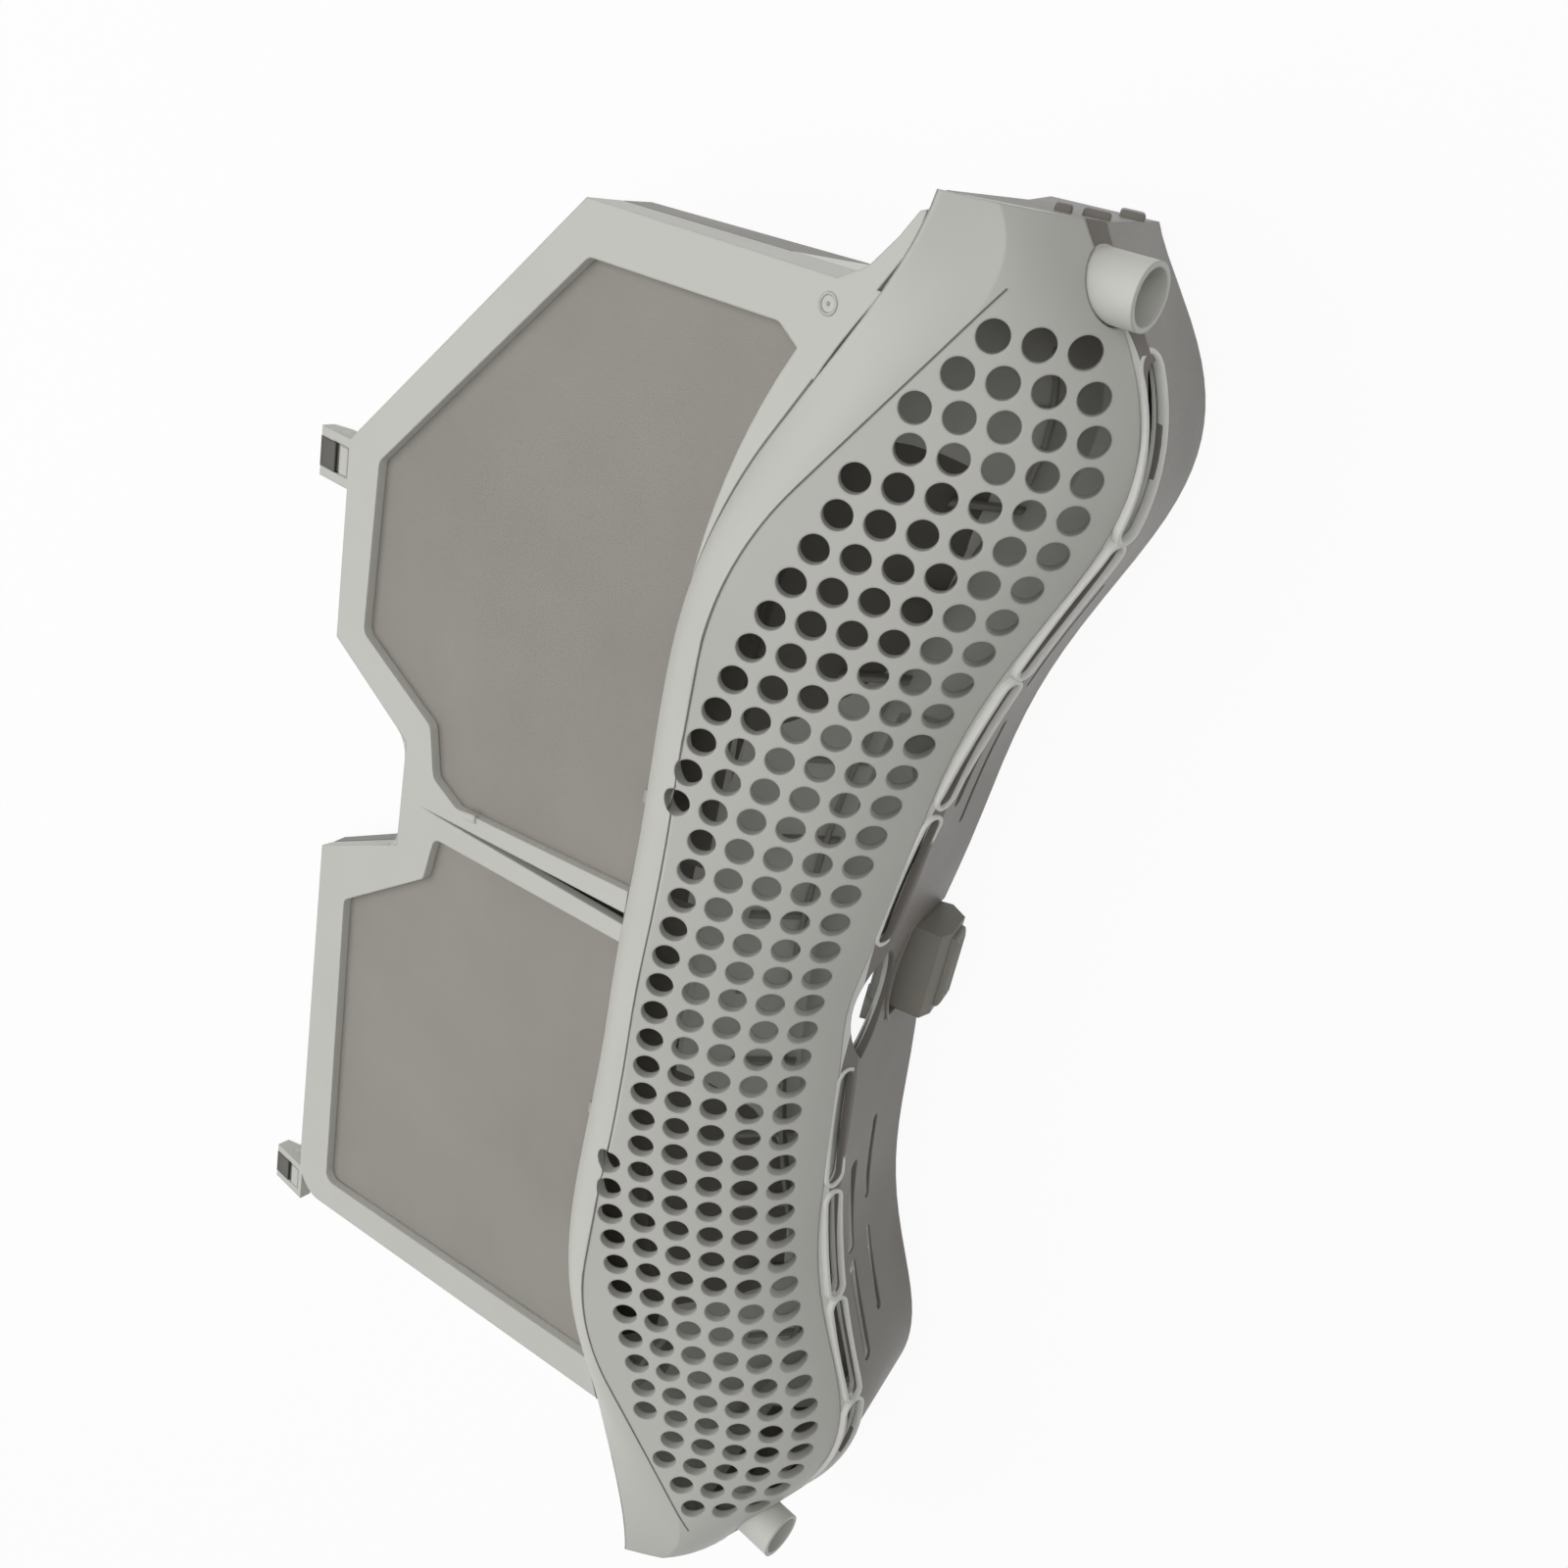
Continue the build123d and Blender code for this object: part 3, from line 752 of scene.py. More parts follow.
@dataclass(frozen=True)
class Steel:
    """Drawn steel wire; its gloss is the spread and least value of the roughness."""

    name: str
    dark: Triple = (150, 150, 148)
    bright: Triple = (190, 190, 188)
    lines: Grain = Grain(600.0, 2.0)
    gloss: Pair = (0.2, 0.25)

    def build(self) -> bpy.types.Material:
        """Makes the material."""
        s = Shader(self.name)
        line = s.noise(self.lines)
        spread, least = self.gloss
        return s.finish(s.node(
            "ShaderNodeBsdfPrincipled", Metallic=1.0,
            Base_Color=s.mix(line, linear(*self.dark), linear(*self.bright)),
            Roughness=(line * spread + least).clamp()))


@dataclass
class PhotoCamera:
    """Camera of the photograph, in leaf coordinates and millimetres.

    Attributes:
        right: Direction to the right of the image.
        down: Direction to the bottom of the image.
        clip: Nearest and farthest distance seen, in metres.
    """

    place: Triple = (-189.63, 145.90, 234.71)
    right: Triple = (-0.19689, 0.74187, -0.64099)
    down: Triple = (0.87836, 0.42392, 0.22085)
    lens: float = 33.75
    sensor: float = 36.0
    clip: Pair = (0.01, 50.0)

    def build(self, axes: LeafAxes) -> None:
        """Makes the scene's camera in the frame of the leaf."""
        data = bpy.data.cameras.new("photo_camera")
        data.lens, data.sensor_width = self.lens, self.sensor
        data.clip_start, data.clip_end = self.clip
        camera = bpy.data.objects.new("photo_camera", data)
        bpy.context.collection.objects.link(camera)
        right = axes.direction(*self.right)
        back = right.cross(-axes.direction(*self.down)).normalized()
        turn = Matrix((right, back.cross(right), back)).transposed()
        camera.matrix_world = Matrix.Translation(axes.point(*self.place)) @ turn.to_4x4()
        bpy.context.scene.camera = camera


@dataclass
class Studio:
    """Pale floor, white surroundings and soft lamps, in metres.

    Attributes:
        ambient: Strength of the surrounding light.
        lamps: Name, direction to the lamp, size and power of each lamp.
        reach: Distance of the lamps from the origin.
        floor_white: Share of the white background in the floor as it is seen.
    """

    ambient: float = 0.27
    lamps: tuple[tuple[str, Triple, float, float], ...] = (
        ("key", (-0.10, -0.62, 0.78), 1.6, 10.5),
        ("top", (0.0, -0.1, 1.0), 2.0, 1.8),
        ("front", (-0.436, 0.206, 0.876), 0.6, 2.4))
    reach: float = 1.3
    floor_white: float = 0.93

    def surroundings(self) -> None:
        """Makes the world, white where it is seen and softer where it lights the part."""
        world = bpy.data.worlds.new("surroundings")
        bpy.context.scene.world = world
        world.use_nodes = True
        tree = Tree(world.node_tree)
        light = tree.node("ShaderNodeBackground", Color=(1.0, 0.99, 0.97, 1.0),
                          Strength=self.ambient)
        seen = tree.node("ShaderNodeBackground", Color=WHITE, Strength=1.0)
        tree.node("ShaderNodeOutputWorld", Surface=tree.node(
            "ShaderNodeMixShader", in0=tree.sees_background(), in1=light, in2=seen))

    def lights(self) -> None:
        """Makes the lamps, each turned to the origin."""
        for name, towards, size, power in self.lamps:
            data = bpy.data.lights.new(name, "AREA")
            data.shape, data.size, data.energy = "DISK", size, power
            lamp = bpy.data.objects.new(name, data)
            bpy.context.collection.objects.link(lamp)
            way = Vector(towards).normalized()
            lamp.location = way * self.reach
            lamp.rotation_euler = way.to_track_quat("Z", "Y").to_euler()

    def floor(self) -> None:
        """Makes the floor, nearly white as it is seen and shaded by the part."""
        bpy.ops.object.select_all(action="DESELECT")
        bpy.ops.mesh.primitive_plane_add(size=12.0, location=(0, 0, -0.0002))
        floor = bpy.context.object
        floor.name = "floor"
        s = Shader("floor_paint")
        paint = s.node("ShaderNodeBsdfPrincipled", Base_Color=(0.9, 0.9, 0.89, 1.0), Roughness=0.9)
        glow = s.node("ShaderNodeEmission", Color=WHITE, Strength=1.0)
        floor.data.materials.append(s.finish(s.node(
            "ShaderNodeMixShader", in0=s.sees_background() * self.floor_white, in1=paint,
            in2=glow)))

    def build(self) -> None:
        """Makes the world, the lamps and the floor."""
        self.surroundings()
        self.lights()
        self.floor()


class Finishes:
    """All finishes of the filter, by record slot."""

    def __init__(self) -> None:
        """Builds every material once."""
        self.by_slot = {
            Slot.FRONT: Plastic("front_satin", (200, 200, 195), (191, 191, 186)).build(),
            # Back plastic: its tone is darkened to paint the shade on the deck wall. Faces that
            # look into the chamber are lightened with painted light, and the rings keep a paler
            # tone.
            Slot.BACK: Plastic("back_satin", (130, 126, 121), (120, 116, 112),
                               inner=(226, 226, 222), ring=(206, 206, 201)).build(),
            Slot.CLOTH: Cloth("screen_weave", (158, 154, 147), (128, 124, 117)).build(),
            Slot.STEEL: Steel("drawn_steel").build(),
            # Latch: the hub below core is lightened with painted light.
            Slot.LATCH: Plastic("latch_satin", (136, 133, 125), (124, 121, 113),
                                inner=(226, 226, 222), core=72.0).build(),
        }
        # Darker plastic that paints shade on the chamber ribs, the foot catches and the block in
        # the mouth's joint.
        self.shade = Plastic("chamber_plastic", (176, 175, 170), (150, 149, 145), 0.6).build()
        # Dark plastic for the ribbons that paint the shade in the cover's crease and at its foot.
        self.line = Plastic("line_shade", (132, 130, 124), (116, 114, 110), 0.7).build()
        # Dark plastic that paints the shade of the hinge clips' recesses.
        self.recess = Plastic("recess_shade", (104, 102, 97), (90, 88, 84), 0.6).build()
        # Pale plastic that paints a highlight on the rims of the slot lips.
        self.lip = Plastic("lip_satin", (232, 232, 228), (222, 222, 218), 0.38).build()

    def dress_frame(self, frame: dict) -> None:
        for part in frame["record"]["subparts"]:
            node = frame["nodes"].get(part["node"])
            if node is None:
                continue
            material = self.by_slot[Slot(part["material_slot"])]
            for slot in node.material_slots:
                slot.material = material

    def hang(self, piece: bpy.types.Object, body: Body, slot: Slot,
             material: bpy.types.Material | None = None) -> None:
        """Dresses a finished piece with its finish and hangs it on its body.

        Args:
            piece: Finished object.
            body: Body that it moves with.
            slot: Slot of the record that it takes its finish from.
            material: Its material, where it isn't the slot's own.
        """
        piece.data.materials.clear()
        piece.data.materials.append(material or self.by_slot[slot])
        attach(piece, body.value)
        LOG.info("%s on %s", piece.name, body.value)


@dataclass
class Screens:
    """Woven screens over the windows and behind the deck wall, in metres.

    Attributes:
        ripple: Height of the slack between threads.
        facing: Least share of the outward direction in an outer face's normal.
        back_way: Leaf direction that the back screens look in.
        deck_fall: Fall of the direction that the deck screens look in.
    """

    finishes: Finishes
    cell: float = 0.006
    thickness: float = 0.0003
    ripple: float = 0.00008
    ripple_scale: float = 60.0
    facing: float = 0.35
    back_way: Triple = (0.0, -0.17, -1.0)
    deck_fall: float = 0.25

    def cut_cells(self, mesh: bmesh.types.BMesh, axis: int, low: list[float],
                  high: list[float]) -> None:
        """Cuts a cloth into cells across one axis.

        Args:
            mesh: The cloth.
            axis: Number of the axis.
            low: Lowest corner of the cloth.
            high: Highest corner of the cloth.
        """
        normal = Vector((0.0, 0.0, 0.0))
        normal[axis] = 1.0
        for step in range(1, int((high[axis] - low[axis]) / self.cell) + 1):
            spot = Vector(low)
            spot[axis] += step * self.cell
            bmesh.ops.bisect_plane(mesh, geom=mesh.verts[:] + mesh.edges[:] + mesh.faces[:],
                                   plane_co=spot, plane_no=normal, dist=0.000001)

    def cloth(self, node: str, outward: Vector, body: Body) -> None:
        """Makes the cloth of one screen from the outer face of its CAD node.

        Args:
            node: CAD node that it replaces.
            outward: Direction that the outer face looks in.
            body: Body that it moves with.
        """
        piece = bpy.data.objects.new("cloth_" + node, bpy.data.objects[node].data.copy())
        bpy.context.collection.objects.link(piece)
        mesh = bmesh.new()
        mesh.from_mesh(piece.data)
        bmesh.ops.remove_doubles(mesh, verts=mesh.verts, dist=MERGE)
        mesh.normal_update()
        spare = [f for f in mesh.faces if f.normal.dot(outward) < self.facing]
        bmesh.ops.delete(mesh, geom=spare, context="FACES")
        bmesh.ops.dissolve_limit(mesh, angle_limit=0.02, verts=mesh.verts, edges=mesh.edges)
        low = [min(v.co[i] for v in mesh.verts) for i in range(3)]
        high = [max(v.co[i] for v in mesh.verts) for i in range(3)]
        bmesh.ops.triangulate(mesh, faces=mesh.faces)
        for axis in (0, 1 if abs(outward.z) > 0.5 else 2):
            self.cut_cells(mesh, axis, low, high)
        area = sum(f.calc_area() for f in mesh.faces)
        for vertex in mesh.verts:
            if not vertex.is_boundary:
                wave = noise.noise(vertex.co * self.ripple_scale) * self.ripple
                vertex.co += outward * (wave - self.ripple)
        mesh.to_mesh(piece.data)
        mesh.free()
        Bench.modify(piece, "SOLIDIFY", thickness=self.thickness, offset=-1.0)
        Bench.smooth(piece, degrees=40.0)
        self.finishes.hang(piece, body, Slot.CLOTH)
        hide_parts(node)

    def build(self, axes: LeafAxes, head: Head) -> None:
        """Makes all the screens.

        Args:
            axes: Frame of the front leaf.
            head: Curve of the head.
        """
        front, back = axes.direction(0.0, 0.0, 1.0), axes.direction(*self.back_way)
        for level in ("upper", "lower"):
            self.cloth("front_screen_" + level, front, Body.FRONT)
            self.cloth("back_screen_" + level, back, Body.BACK)
        out = (head.point(0, 1, -self.deck_fall) - head.point(0, 0, 0)).normalized()
        for end in ("left", "right"):
            self.cloth("deck_screen_" + end, out, Body.BACK)


@dataclass
class LeafDetails:
    """Moulding marks of the front leaf, in millimetres.

    Attributes:
        gate_size: Radius and height of the gate mark.
        stop_at: Place of the stop on the rib, and its turn in degrees.
        catches: Places of the catches at the foot of the cover.
        recess: Seat on the roof of a hinge clip, dark with painted shade.
        notch: Inner corners of the notch, with the direction of its slanted side.
        web_depth: Depth of the webs that round those corners.
    """

    finishes: Finishes
    plane: float = 15.0
    gate: Pair = (-151.7, -23.1)
    gate_size: Pair = (2.2, 0.24)
    gate_steps: tuple[Pair, ...] = ((0.5, 0.0), (0.3, -0.3), (0.9, 0.0), (0.15, 0.22))
    gate_rise: float = 0.1
    stop: Block = Block((2.2, 5.0, 1.0), ((0.45, 0.25),), 0.25, 3)
    stop_at: Triple = (-5.3, -101.8, 12.0)
    catch: Block = Block((3.4, 1.3, 0.9), ((0.3, -0.3),), 0.12)
    catches: tuple[Pair, ...] = ((-39.0, -45.2), (49.2, -45.2))
    recess: Block = Block((7.8, 6.2, 0.6), ((0.5, 0.0), (0.2, -0.18)), 0.08)
    clips: Pair = (-77.5, 159.5)
    clip_y: float = -170.7
    notch: tuple[tuple[Pair, Pair], ...] = (
        ((-14.0, -129.2), (-16.5, -32.8)), ((17.0, -129.2), (17.0, -32.8)))
    notch_r: float = 8.0
    web_depth: float = 5.4

    def on_leaf(self, axes: LeafAxes, x: float, y: float, turn: float = 0.0) -> Matrix:
        """Frame on the leaf plane."""
        return (Matrix.Translation(axes.point(x, y, self.plane))
                @ axes.turn().to_4x4() @ Matrix.Rotation(math.radians(turn), 4, "Z"))

    def gate_mark(self, axes: LeafAxes) -> None:
        """Sunk ring left by the runner, with a small nub inside."""
        radius, depth = metres(*self.gate_size)
        piece = Bench.start("cylinder", "gate_mark", vertices=40, radius=radius, depth=depth)
        Bench.pick(piece, Pick.FACE, "z", 1)
        Bench.inset(*self.gate_steps)
        Bench.close()
        Bench.ease(piece, width=0.06)
        Bench.smooth(piece)
        Bench.seat(piece, self.on_leaf(axes, *self.gate)
                   @ Matrix.Translation((0, 0, self.gate_rise * MM)))
        self.finishes.hang(piece, Body.FRONT, Slot.FRONT)

    def rib_stop(self, axes: LeafAxes) -> None:
        """Low rounded stop on the rib between the two windows."""
        piece = self.stop.make("rib_stop", self.on_leaf(axes, *self.stop_at))
        self.finishes.hang(piece, Body.FRONT, Slot.FRONT)

    def foot_catches(self, axes: LeafAxes) -> None:
        """Two small catches that clip the foot of the cover to the leaf, dark with painted shade.
        """
        for number, spot in enumerate(self.catches, 1):
            piece = self.catch.make(f"foot_catch_{number}", self.on_leaf(axes, *spot))
            self.finishes.hang(piece, Body.FRONT, Slot.BACK, self.finishes.shade)

    def clip_recesses(self, axes: LeafAxes) -> None:
        """Sunk seat on the roof of each hinge clip, dark with the painted shade of its recess."""
        for number, x in enumerate(self.clips, 1):
            piece = self.recess.make(f"clip_recess_{number}", self.on_leaf(axes, x, self.clip_y))
            self.finishes.hang(piece, Body.FRONT, Slot.FRONT, self.finishes.recess)

    def web_point(self, axes: LeafAxes, co: Vector, corner: Pair, way: Pair) -> Vector:
        """Place of a unit cube's point on the web that rounds a corner of the notch.

        Args:
            axes: Frame of the leaf.
            co: Point of the cube: x along the arc, y from the corner to the arc, z up.
            corner: Corner of the notch.
            way: Direction of the slanted side of the notch.

        Returns:
            The point on the part, in metres.
        """
        slant, level = Vector(way).normalized(), Vector((-1.0 if way[0] > 0 else 1.0, 0.0))
        half = slant.angle(level) / 2
        base = Vector(corner)
        middle = base + (slant + level).normalized() * self.notch_r / math.sin(half)
        reach = self.notch_r / math.tan(half)
        first, last = base + slant * reach - middle, base + level * reach - middle
        turn, share = math.pi - 2 * half, co.x + 0.5
        spot = middle + (first * math.sin((1 - share) * turn)
                         + last * math.sin(share * turn)) / math.sin(turn)
        spot = base + (spot - base) * (co.y + 0.5)
        return axes.point(spot.x, spot.y, self.plane - self.web_depth * (0.5 - co.z))

    def notch_webs(self, axes: LeafAxes) -> None:
        """Webs that round the two inner corners of the notch."""
        for number, (corner, way) in enumerate(self.notch, 1):
            piece = Bench.bar(f"notch_web_{number}", "x", cuts=9)
            Bench.seat(piece, lambda co, c=corner, w=way: self.web_point(axes, co, c, w))
            Bench.outward(piece)
            Bench.smooth(piece)
            self.finishes.hang(piece, Body.FRONT, Slot.FRONT)

    def build(self, axes: LeafAxes) -> None:
        """Makes the marks."""
        self.notch_webs(axes)
        self.clip_recesses(axes)
        self.gate_mark(axes)
        self.rib_stop(axes)
        self.foot_catches(axes)


@dataclass
class DeckDetails:
    """Lips, ribs, catches, guard and joint block of the deck, in millimetres.

    Attributes:
        slots: First, last and height of each upper slot on one side.
        slot_at: Distance s and height v of the upper slots.
        lip_rim: Width of a lip's flat rim.
        long_at: Place s of the long rib, and the height of its middle over the floor.
        cross_at: The same of the cross ribs.
        cross_side: Number of cross ribs on each side of the middle one.
        catches: Place s, v and sides y, z of each catch on the left end.
        catch_x: Their side along x, and how far their middle lies in the wall.
        guard_size: Depth of the guard and width of its rim.
        guard_foot: Height at which it is cut off.
        guard_squash: Height of its arch as a share of its radius.
        guard_drop: Distance of its middle from the deck wall's upper edge.
    """

    finishes: Finishes
    head: Head
    slots: tuple[Triple, ...] = (
        (120.0, 154.0, 5.6), (88.0, 118.5, 4.2), (55.0, 86.0, 4.2), (18.5, 51.5, 4.6))
    slot_at: Pair = (10.9, -11.2)
    slot_tilt: float = 31.0
    lip_width: float = 1.1
    lip_rim: float = 0.935
    lip_depth: float = 2.0
    long_rib: Triple = (296.0, 1.4, 5.0)
    long_at: Pair = (-9.0, 2.0)
    cross_rib: Triple = (1.4, 16.0, 4.0)
    cross_at: Pair = (-14.0, 1.2)
    cross_pitch: float = 22.5
    cross_side: int = 6
    catches: tuple[tuple[float, float, float, float], ...] = (
        (4.2, -9.5, 3.2, 5.0), (10.2, -13.5, 5.2, 5.0), (16.8, -40.0, 5.0, 8.0))
    catch_x: Pair = (3.2, 0.5)
    guard_r: float = 18.0
    guard_size: Pair = (2.4, 1.8)
    guard_foot: float = -6.0
    guard_squash: float = 0.62
    guard_drop: float = 24.0
    guard_rise: float = 0.2
    joint_block: Block = Block((1.8, 10.0, 13.0), ((1.2, 0.2),), 0.3, 2, "x", 0)
    joint_block_at: Triple = (135.2, 41.0, 38.0)

    def slot_place(self, x: float) -> Matrix:
        """Frame on the rounded upper edge of the deck wall."""
        s, v = self.slot_at
        spot, step = self.head.point(x, s, v), 0.5
        along = (self.head.point(x + step, s, v) - self.head.point(x - step, s, v)).normalized()
        tilt = math.radians(self.slot_tilt)
        out = (self.head.point(x, s + math.cos(tilt), v + math.sin(tilt)) - spot).normalized()
        up = out.cross(along).normalized()
        out = along.cross(up)
        return Matrix.Translation(spot) @ Matrix((along, up, out)).transposed().to_4x4()

    def slot_lip(self, name: str, middle: float, length: float, tall: float) -> None:
        """Raised rounded lip round one upper air slot, pale with a painted highlight.

        Args:
            name: Name of the piece.
            middle: Place of the slot along the head.
            length: Length of the slot.
            tall: Height of the slot.
        """
        radius, depth = metres(tall / 2 + self.lip_width, self.lip_depth)
        piece = Bench.start("cylinder", name, vertices=48, radius=radius, depth=depth)
        for way in (-1, 1):
            Bench.pick(piece, Pick.VERT, "x", way)
            bpy.ops.transform.translate(value=(way * (length / 2 - tall / 2) * MM, 0, 0))
        Bench.hollow(piece, self.lip_rim)
        Bench.pick(piece, Pick.EDGE, "x")
        bpy.ops.mesh.subdivide(number_cuts=9)
        Bench.close()
        Bench.ease(piece, width=0.25, least=50.0)
        Bench.outward(piece)
        Bench.smooth(piece)
        Bench.seat(piece, lambda co: self.slot_place(middle + co.x / MM)
                   @ Vector((0, co.y, co.z)))
        # The lips are pale, a painted highlight on their rims.
        self.finishes.hang(piece, Body.BACK, Slot.BACK, self.finishes.lip)

    def slot_lips(self) -> None:
        """Lips round the upper air slots of both sides."""
        for number, (first, last, tall) in enumerate(self.slots, 1):
            for sign, side in ((-1, "left"), (1, "right")):
                self.slot_lip(f"slot_lip_{side}_{number}", sign * (first + last) / 2,
                              last - first, tall)

    def chamber_ribs(self) -> None:
        """Long rib and cross ribs on the floor of the lint chamber, in a darker plastic that
        paints their shade.
        """
        head = self.head
        (long_s, long_rise), (cross_s, cross_rise) = self.long_at, self.cross_at
        pieces = [Bench.bar("long_rib", "x", cuts=40, sides=metres(*self.long_rib))]
        Bench.seat(pieces[0], lambda co: head.point(
            co.x / MM, long_s + co.y / MM,
            head.floor - head.floor_rise * long_s + long_rise + co.z / MM))
        for index in range(-self.cross_side, self.cross_side + 1):
            rib = Bench.bar(f"cross_rib_{index}", "y", cuts=3,
                            sides=metres(*self.cross_rib))
            Bench.seat(rib, lambda co, x=index * self.cross_pitch: head.point(
                x + co.x / MM, cross_s + co.y / MM,
                head.floor - head.floor_rise * (cross_s + co.y / MM) + cross_rise + co.z / MM))
            pieces.append(rib)
        piece = Bench.join("chamber_ribs", pieces)
        Bench.ease(piece, width=0.3, least=50.0)
        Bench.smooth(piece)
        self.finishes.hang(piece, Body.BACK, Slot.BACK, self.finishes.shade)

    def end_catches(self) -> None:
        """Three catches on the left end wall."""
        reach, sunk = self.catch_x
        turn = Matrix.Rotation(-math.radians(self.head.lean), 4, "X")
        for number, (s, v, wide, tall) in enumerate(self.catches, 1):
            spot = self.head.point(-self.head.half, s, v) + Vector((sunk * MM, 0.0, 0.0))
            piece = Block((reach, wide, tall), ((0.5, 0.3),), 0.3, 3, "x", -1).make(
                f"end_catch_{number}", Matrix.Translation(spot) @ turn)
            self.finishes.hang(piece, Body.BACK, Slot.BACK)

    def latch_guard(self) -> None:
        """Arched guard on the wall round the latch."""
        depth, rim = self.guard_size
        piece = Bench.start("cylinder", "latch_guard", vertices=64, radius=self.guard_r * MM,
                            depth=depth * MM)
        Bench.hollow(piece, rim)
        bpy.ops.mesh.select_all(action="SELECT")
        bpy.ops.mesh.bisect(plane_co=(0, self.guard_foot * MM, 0), plane_no=(0, 1, 0),
                            clear_inner=True, use_fill=True)
        Bench.close()
        Bench.ease(piece, width=0.4, segments=3)
        Bench.outward(piece)
        Bench.smooth(piece)
        Bench.seat(piece, lambda co: self.head.wall(co.x / MM, self.guard_drop)
                   @ Vector((0, co.y * self.guard_squash, co.z + self.guard_rise * MM)))
        self.finishes.hang(piece, Body.BACK, Slot.BACK)

    def mouth_seal(self) -> None:
        """Darker block in the joint between the deck's mouth and the side of the back frame, which
        paints the shade there.
        """
        piece = self.joint_block.make("mouth_seal", Matrix.Translation(metres(*self.joint_block_at)))
        self.finishes.hang(piece, Body.BACK, Slot.BACK, self.finishes.shade)

    def build(self) -> None:
        """Makes the details of the deck."""
        self.mouth_seal()
        self.slot_lips()
        self.chamber_ribs()
        self.end_catches()
        self.latch_guard()


@dataclass
class LatchDetails:
    """Thumb pad and grip ridges on the latch, in millimetres.

    Attributes:
        pad_top: Upper end of the face under the pad, as (s, v).
        pad_foot: Lower end of that face.
        ridge_size: Radius and length of a ridge.
        ridge_top: Start of the ridges' line, as (s, v).
        ridge_run: Way from there to its end.
        ridge_share: First ridge and length of the line, in steps between ridges.
    """

    finishes: Finishes
    head: Head
    pad: Block = Block((20.0, 8.2, 1.6), ((0.9, 0.5),), 0.35, 3)
    pad_top: Pair = (27.5, -35.0)
    pad_foot: Pair = (29.5, -44.0)
    pad_rise: float = 0.2
    ridges: int = 3
    ridge_size: Pair = (0.5, 17.0)
    ridge_top: Pair = (28.7, -35.0)
    ridge_run: Pair = (2.0, -9.0)
    ridge_share: Pair = (0.8, 3.6)

    def latch_pad(self) -> None:
        """Thumb pad, parted from the latch by a groove."""
        high, low = self.head.point(0, *self.pad_top), self.head.point(0, *self.pad_foot)
        along, up = Vector((-1.0, 0.0, 0.0)), (high - low).normalized()
        turn = Matrix((along, up, along.cross(up))).transposed().to_4x4()
        piece = self.pad.make("latch_pad", Matrix.Translation((high + low) / 2) @ turn
                              @ Matrix.Translation((0, 0, self.pad_rise * MM)))
        self.finishes.hang(piece, Body.LATCH, Slot.LATCH)

    def latch_grips(self) -> None:
        """Grip ridges."""
        radius, length = metres(*self.ridge_size)
        (s, v), (run_s, run_v), (first, steps) = self.ridge_top, self.ridge_run, self.ridge_share
        ridges = []
        for index in range(self.ridges):
            ridge = Bench.start("cylinder", f"ridge_{index}", vertices=16, radius=radius,
                                depth=length, rotation=(0, math.pi / 2, 0))
            Bench.close()
            share = (index + first) / steps
            spot = self.head.point(0, s + run_s * share, v + run_v * share)
            Bench.seat(ridge, Matrix.Translation(spot))
            ridges.append(ridge)
        piece = Bench.join("latch_grips", ridges)
        Bench.ease(piece, width=0.2, least=60.0)
        Bench.smooth(piece)
        self.finishes.hang(piece, Body.LATCH, Slot.LATCH)

    def build(self) -> None:
        """Makes the pad and the ridges."""
        self.latch_pad()
        self.latch_grips()


@dataclass(frozen=True)
class Bend:
    """Line that runs level, bends through an arc and then climbs straight, in millimetres.

    Attributes:
        level: Height of the level part.
        start: Distance from the middle at which the arc starts.
        radius: Radius of the arc.
        turn: Turn of the arc, in degrees.
    """

    level: float
    start: float
    radius: float
    turn: float

    def at(self, x: float) -> float:
        """Height of the line at x, the same on both sides of the middle."""
        a, turn = abs(x), math.radians(self.turn)
        end = self.start + self.radius * math.sin(turn)
        if a <= self.start:
            return self.level
        if a <= end:
            return self.level + self.radius - math.sqrt(self.radius ** 2 - (a - self.start) ** 2)
        return self.level + self.radius * (1 - math.cos(turn)) + (a - end) * math.tan(turn)


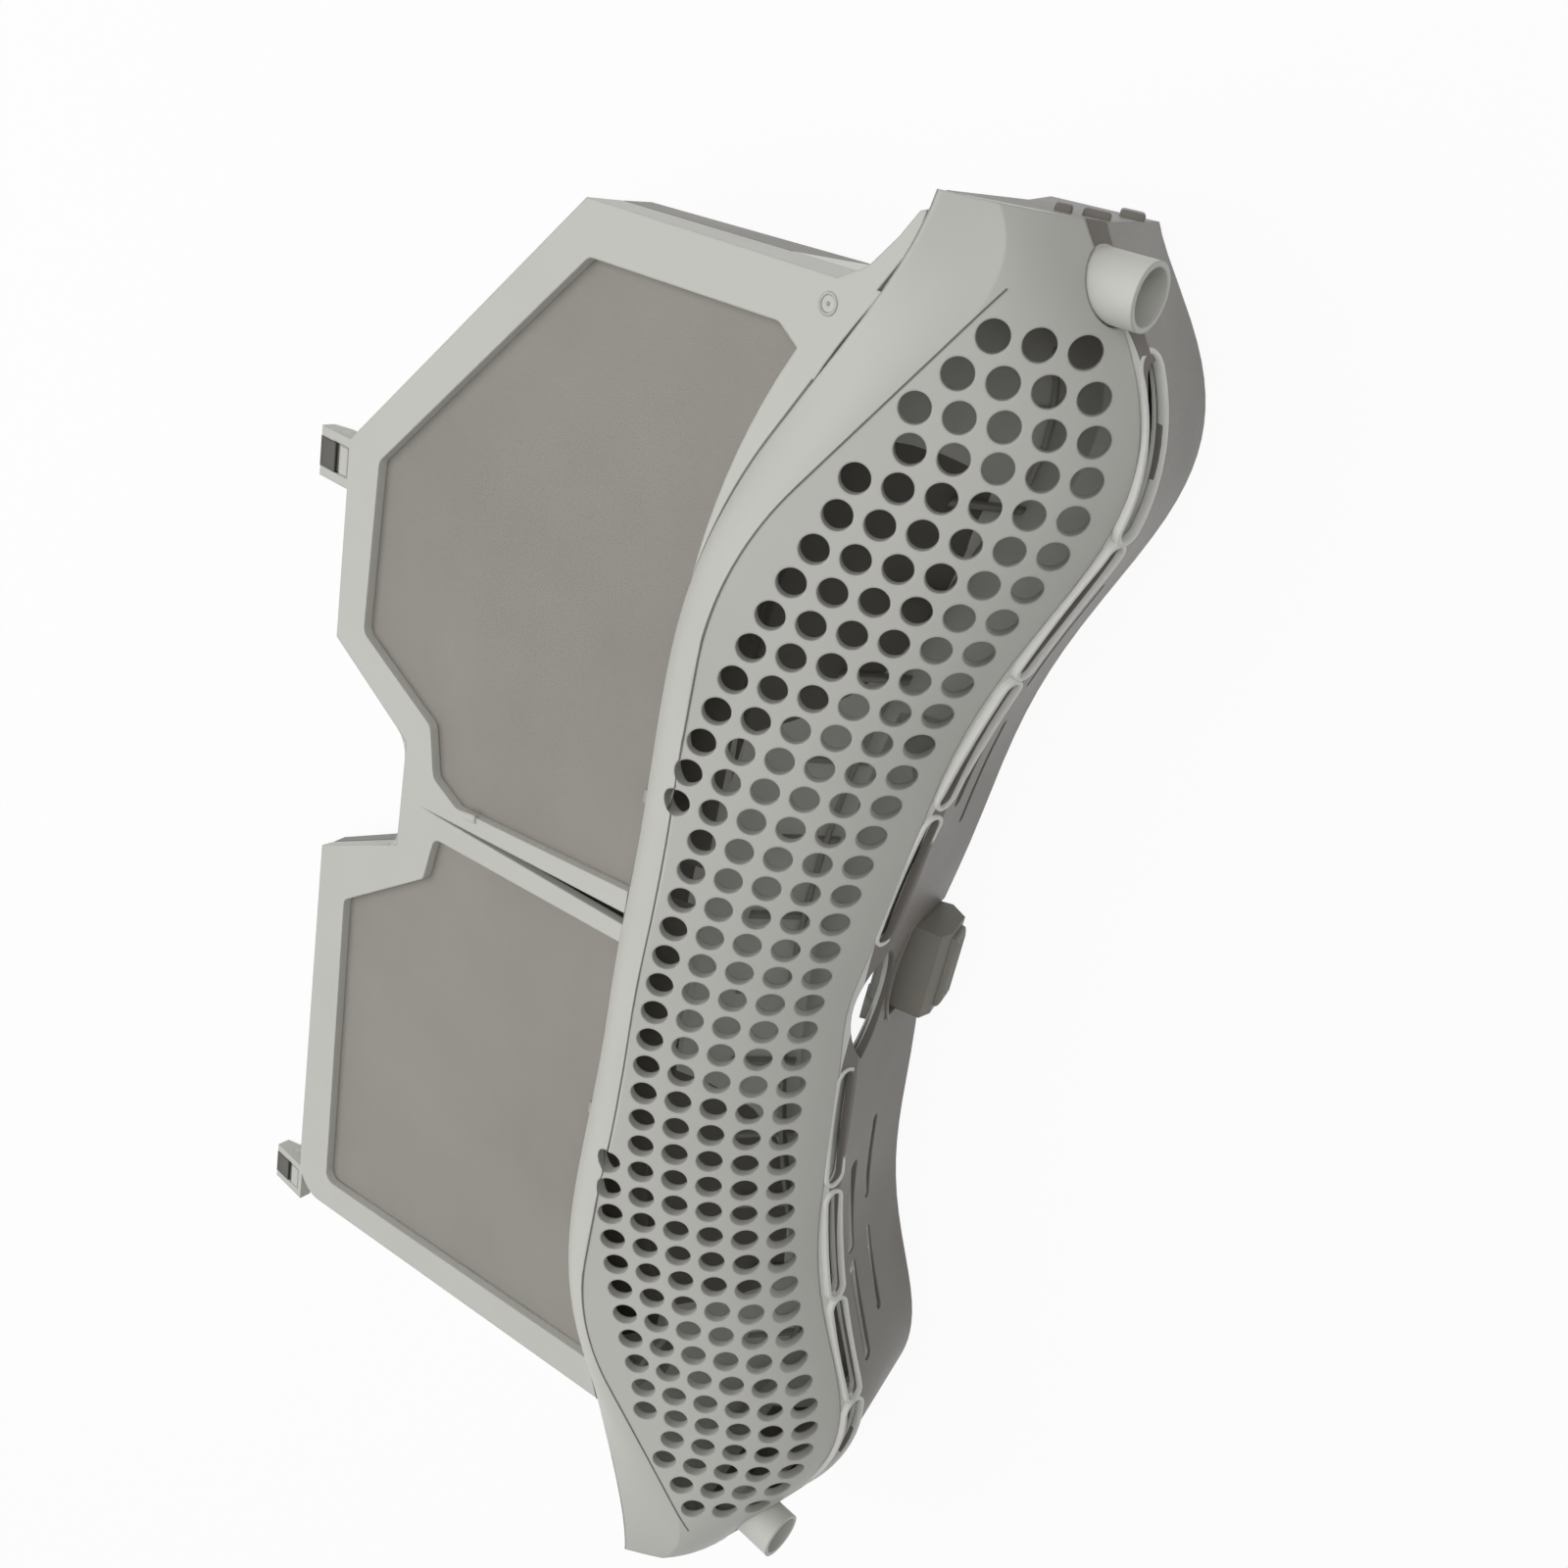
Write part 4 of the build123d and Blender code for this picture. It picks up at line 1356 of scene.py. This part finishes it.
@dataclass
class ShadeLines:
    """Dark ribbons that paint the shade in the crease of the cover and in the seam at its foot, in
    millimetres.

    Attributes:
        crease: Inner edge of the face, before it meets the brow.
        brow: Least distance of the crease from the lip datum.
        flank: Depth that the flank falls to, and the distance over which it falls.
        lift: Slope of the ends and the place where it starts.
        step: Distance over which the direction of a line is taken.
    """

    finishes: Finishes
    head: Head
    axes: LeafAxes
    crease: Bend = Bend(-37.5, 80.0, 70.0, 34.0)
    brow: float = 6.0
    flank: Pair = (9.8, 14.0)
    lift: Pair = (0.2, 144.5)
    foot: Bend = Bend(-45.0, 70.0, 110.0, 30.0)
    foot_gap: float = 0.25
    plane: float = 15.0
    crease_reach: float = 162.0
    foot_reach: float = 138.0
    step: float = 0.2
    width: float = 0.42

    def crease_point(self, x: float) -> Vector:
        """Point of the crease between flank and face."""
        shift, (depth, fall), (slope, start) = self.head.shift(x), self.flank, self.lift
        s = min(self.crease.at(x), shift - self.brow) - shift
        return self.head.point(x, s, depth * (1 - math.exp(s / fall))
                               + slope * max(abs(x) - start, 0.0))

    def foot_point(self, x: float) -> Vector:
        """Point just outside the foot of the cover."""
        return self.axes.point(x, self.foot.at(x) - self.foot_gap, self.plane)

    def ribbon(self, name: str, route: Route, reach: float, target: str) -> None:
        """Lays a thin dark line of painted shade on a CAD node of the front half.

        Args:
            name: Name of the piece.
            route: Function from x to the point of the line.
            reach: Largest |x| of the line.
            target: Node that the line lies on.
        """
        piece = Bench.start("grid", name, x_subdivisions=160, y_subdivisions=1, size=1.0)
        Bench.close()
        half, out = self.width / 2 * MM, self.axes.direction(0, 0, 1)
        for vertex in piece.data.vertices:
            x = vertex.co.x * 2 * reach
            way = (route(x + self.step) - route(x - self.step)).normalized()
            across = way.cross(out).normalized()
            vertex.co = route(x) + across * (half if vertex.co.y > 0 else -half)
        Bench.modify(piece, "SHRINKWRAP", target=bpy.data.objects[target],
                     wrap_method="NEAREST_SURFACEPOINT", wrap_mode="ABOVE_SURFACE",
                     offset=0.06 * MM)
        Bench.modify(piece, "SOLIDIFY", thickness=0.08 * MM, offset=-1.0)
        Bench.smooth(piece, degrees=60.0)
        self.finishes.hang(piece, Body.FRONT, Slot.FRONT, self.finishes.line)

    def build(self) -> None:
        """Makes both lines."""
        self.ribbon("crease_line", self.crease_point, self.crease_reach, "front_cover")
        self.ribbon("foot_line", self.foot_point, self.foot_reach, "front_frame")


def main() -> None:
    """Builds the scene in order."""
    logging.basicConfig(level=logging.INFO, format="%(name)s: %(message)s")
    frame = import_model()
    bpy.context.scene.view_settings.view_transform = "Standard"
    axes, head = LeafAxes(), Head()
    PhotoCamera().build(axes)
    Studio().build()
    finishes = Finishes()
    finishes.dress_frame(frame)
    LOG.info("dressed %d nodes", len(frame["nodes"]))
    Screens(finishes).build(axes, head)
    LeafDetails(finishes).build(axes)
    DeckDetails(finishes, head).build()
    LatchDetails(finishes, head).build()
    ShadeLines(finishes, head, axes).build()


if __name__ == "__main__":
    main()
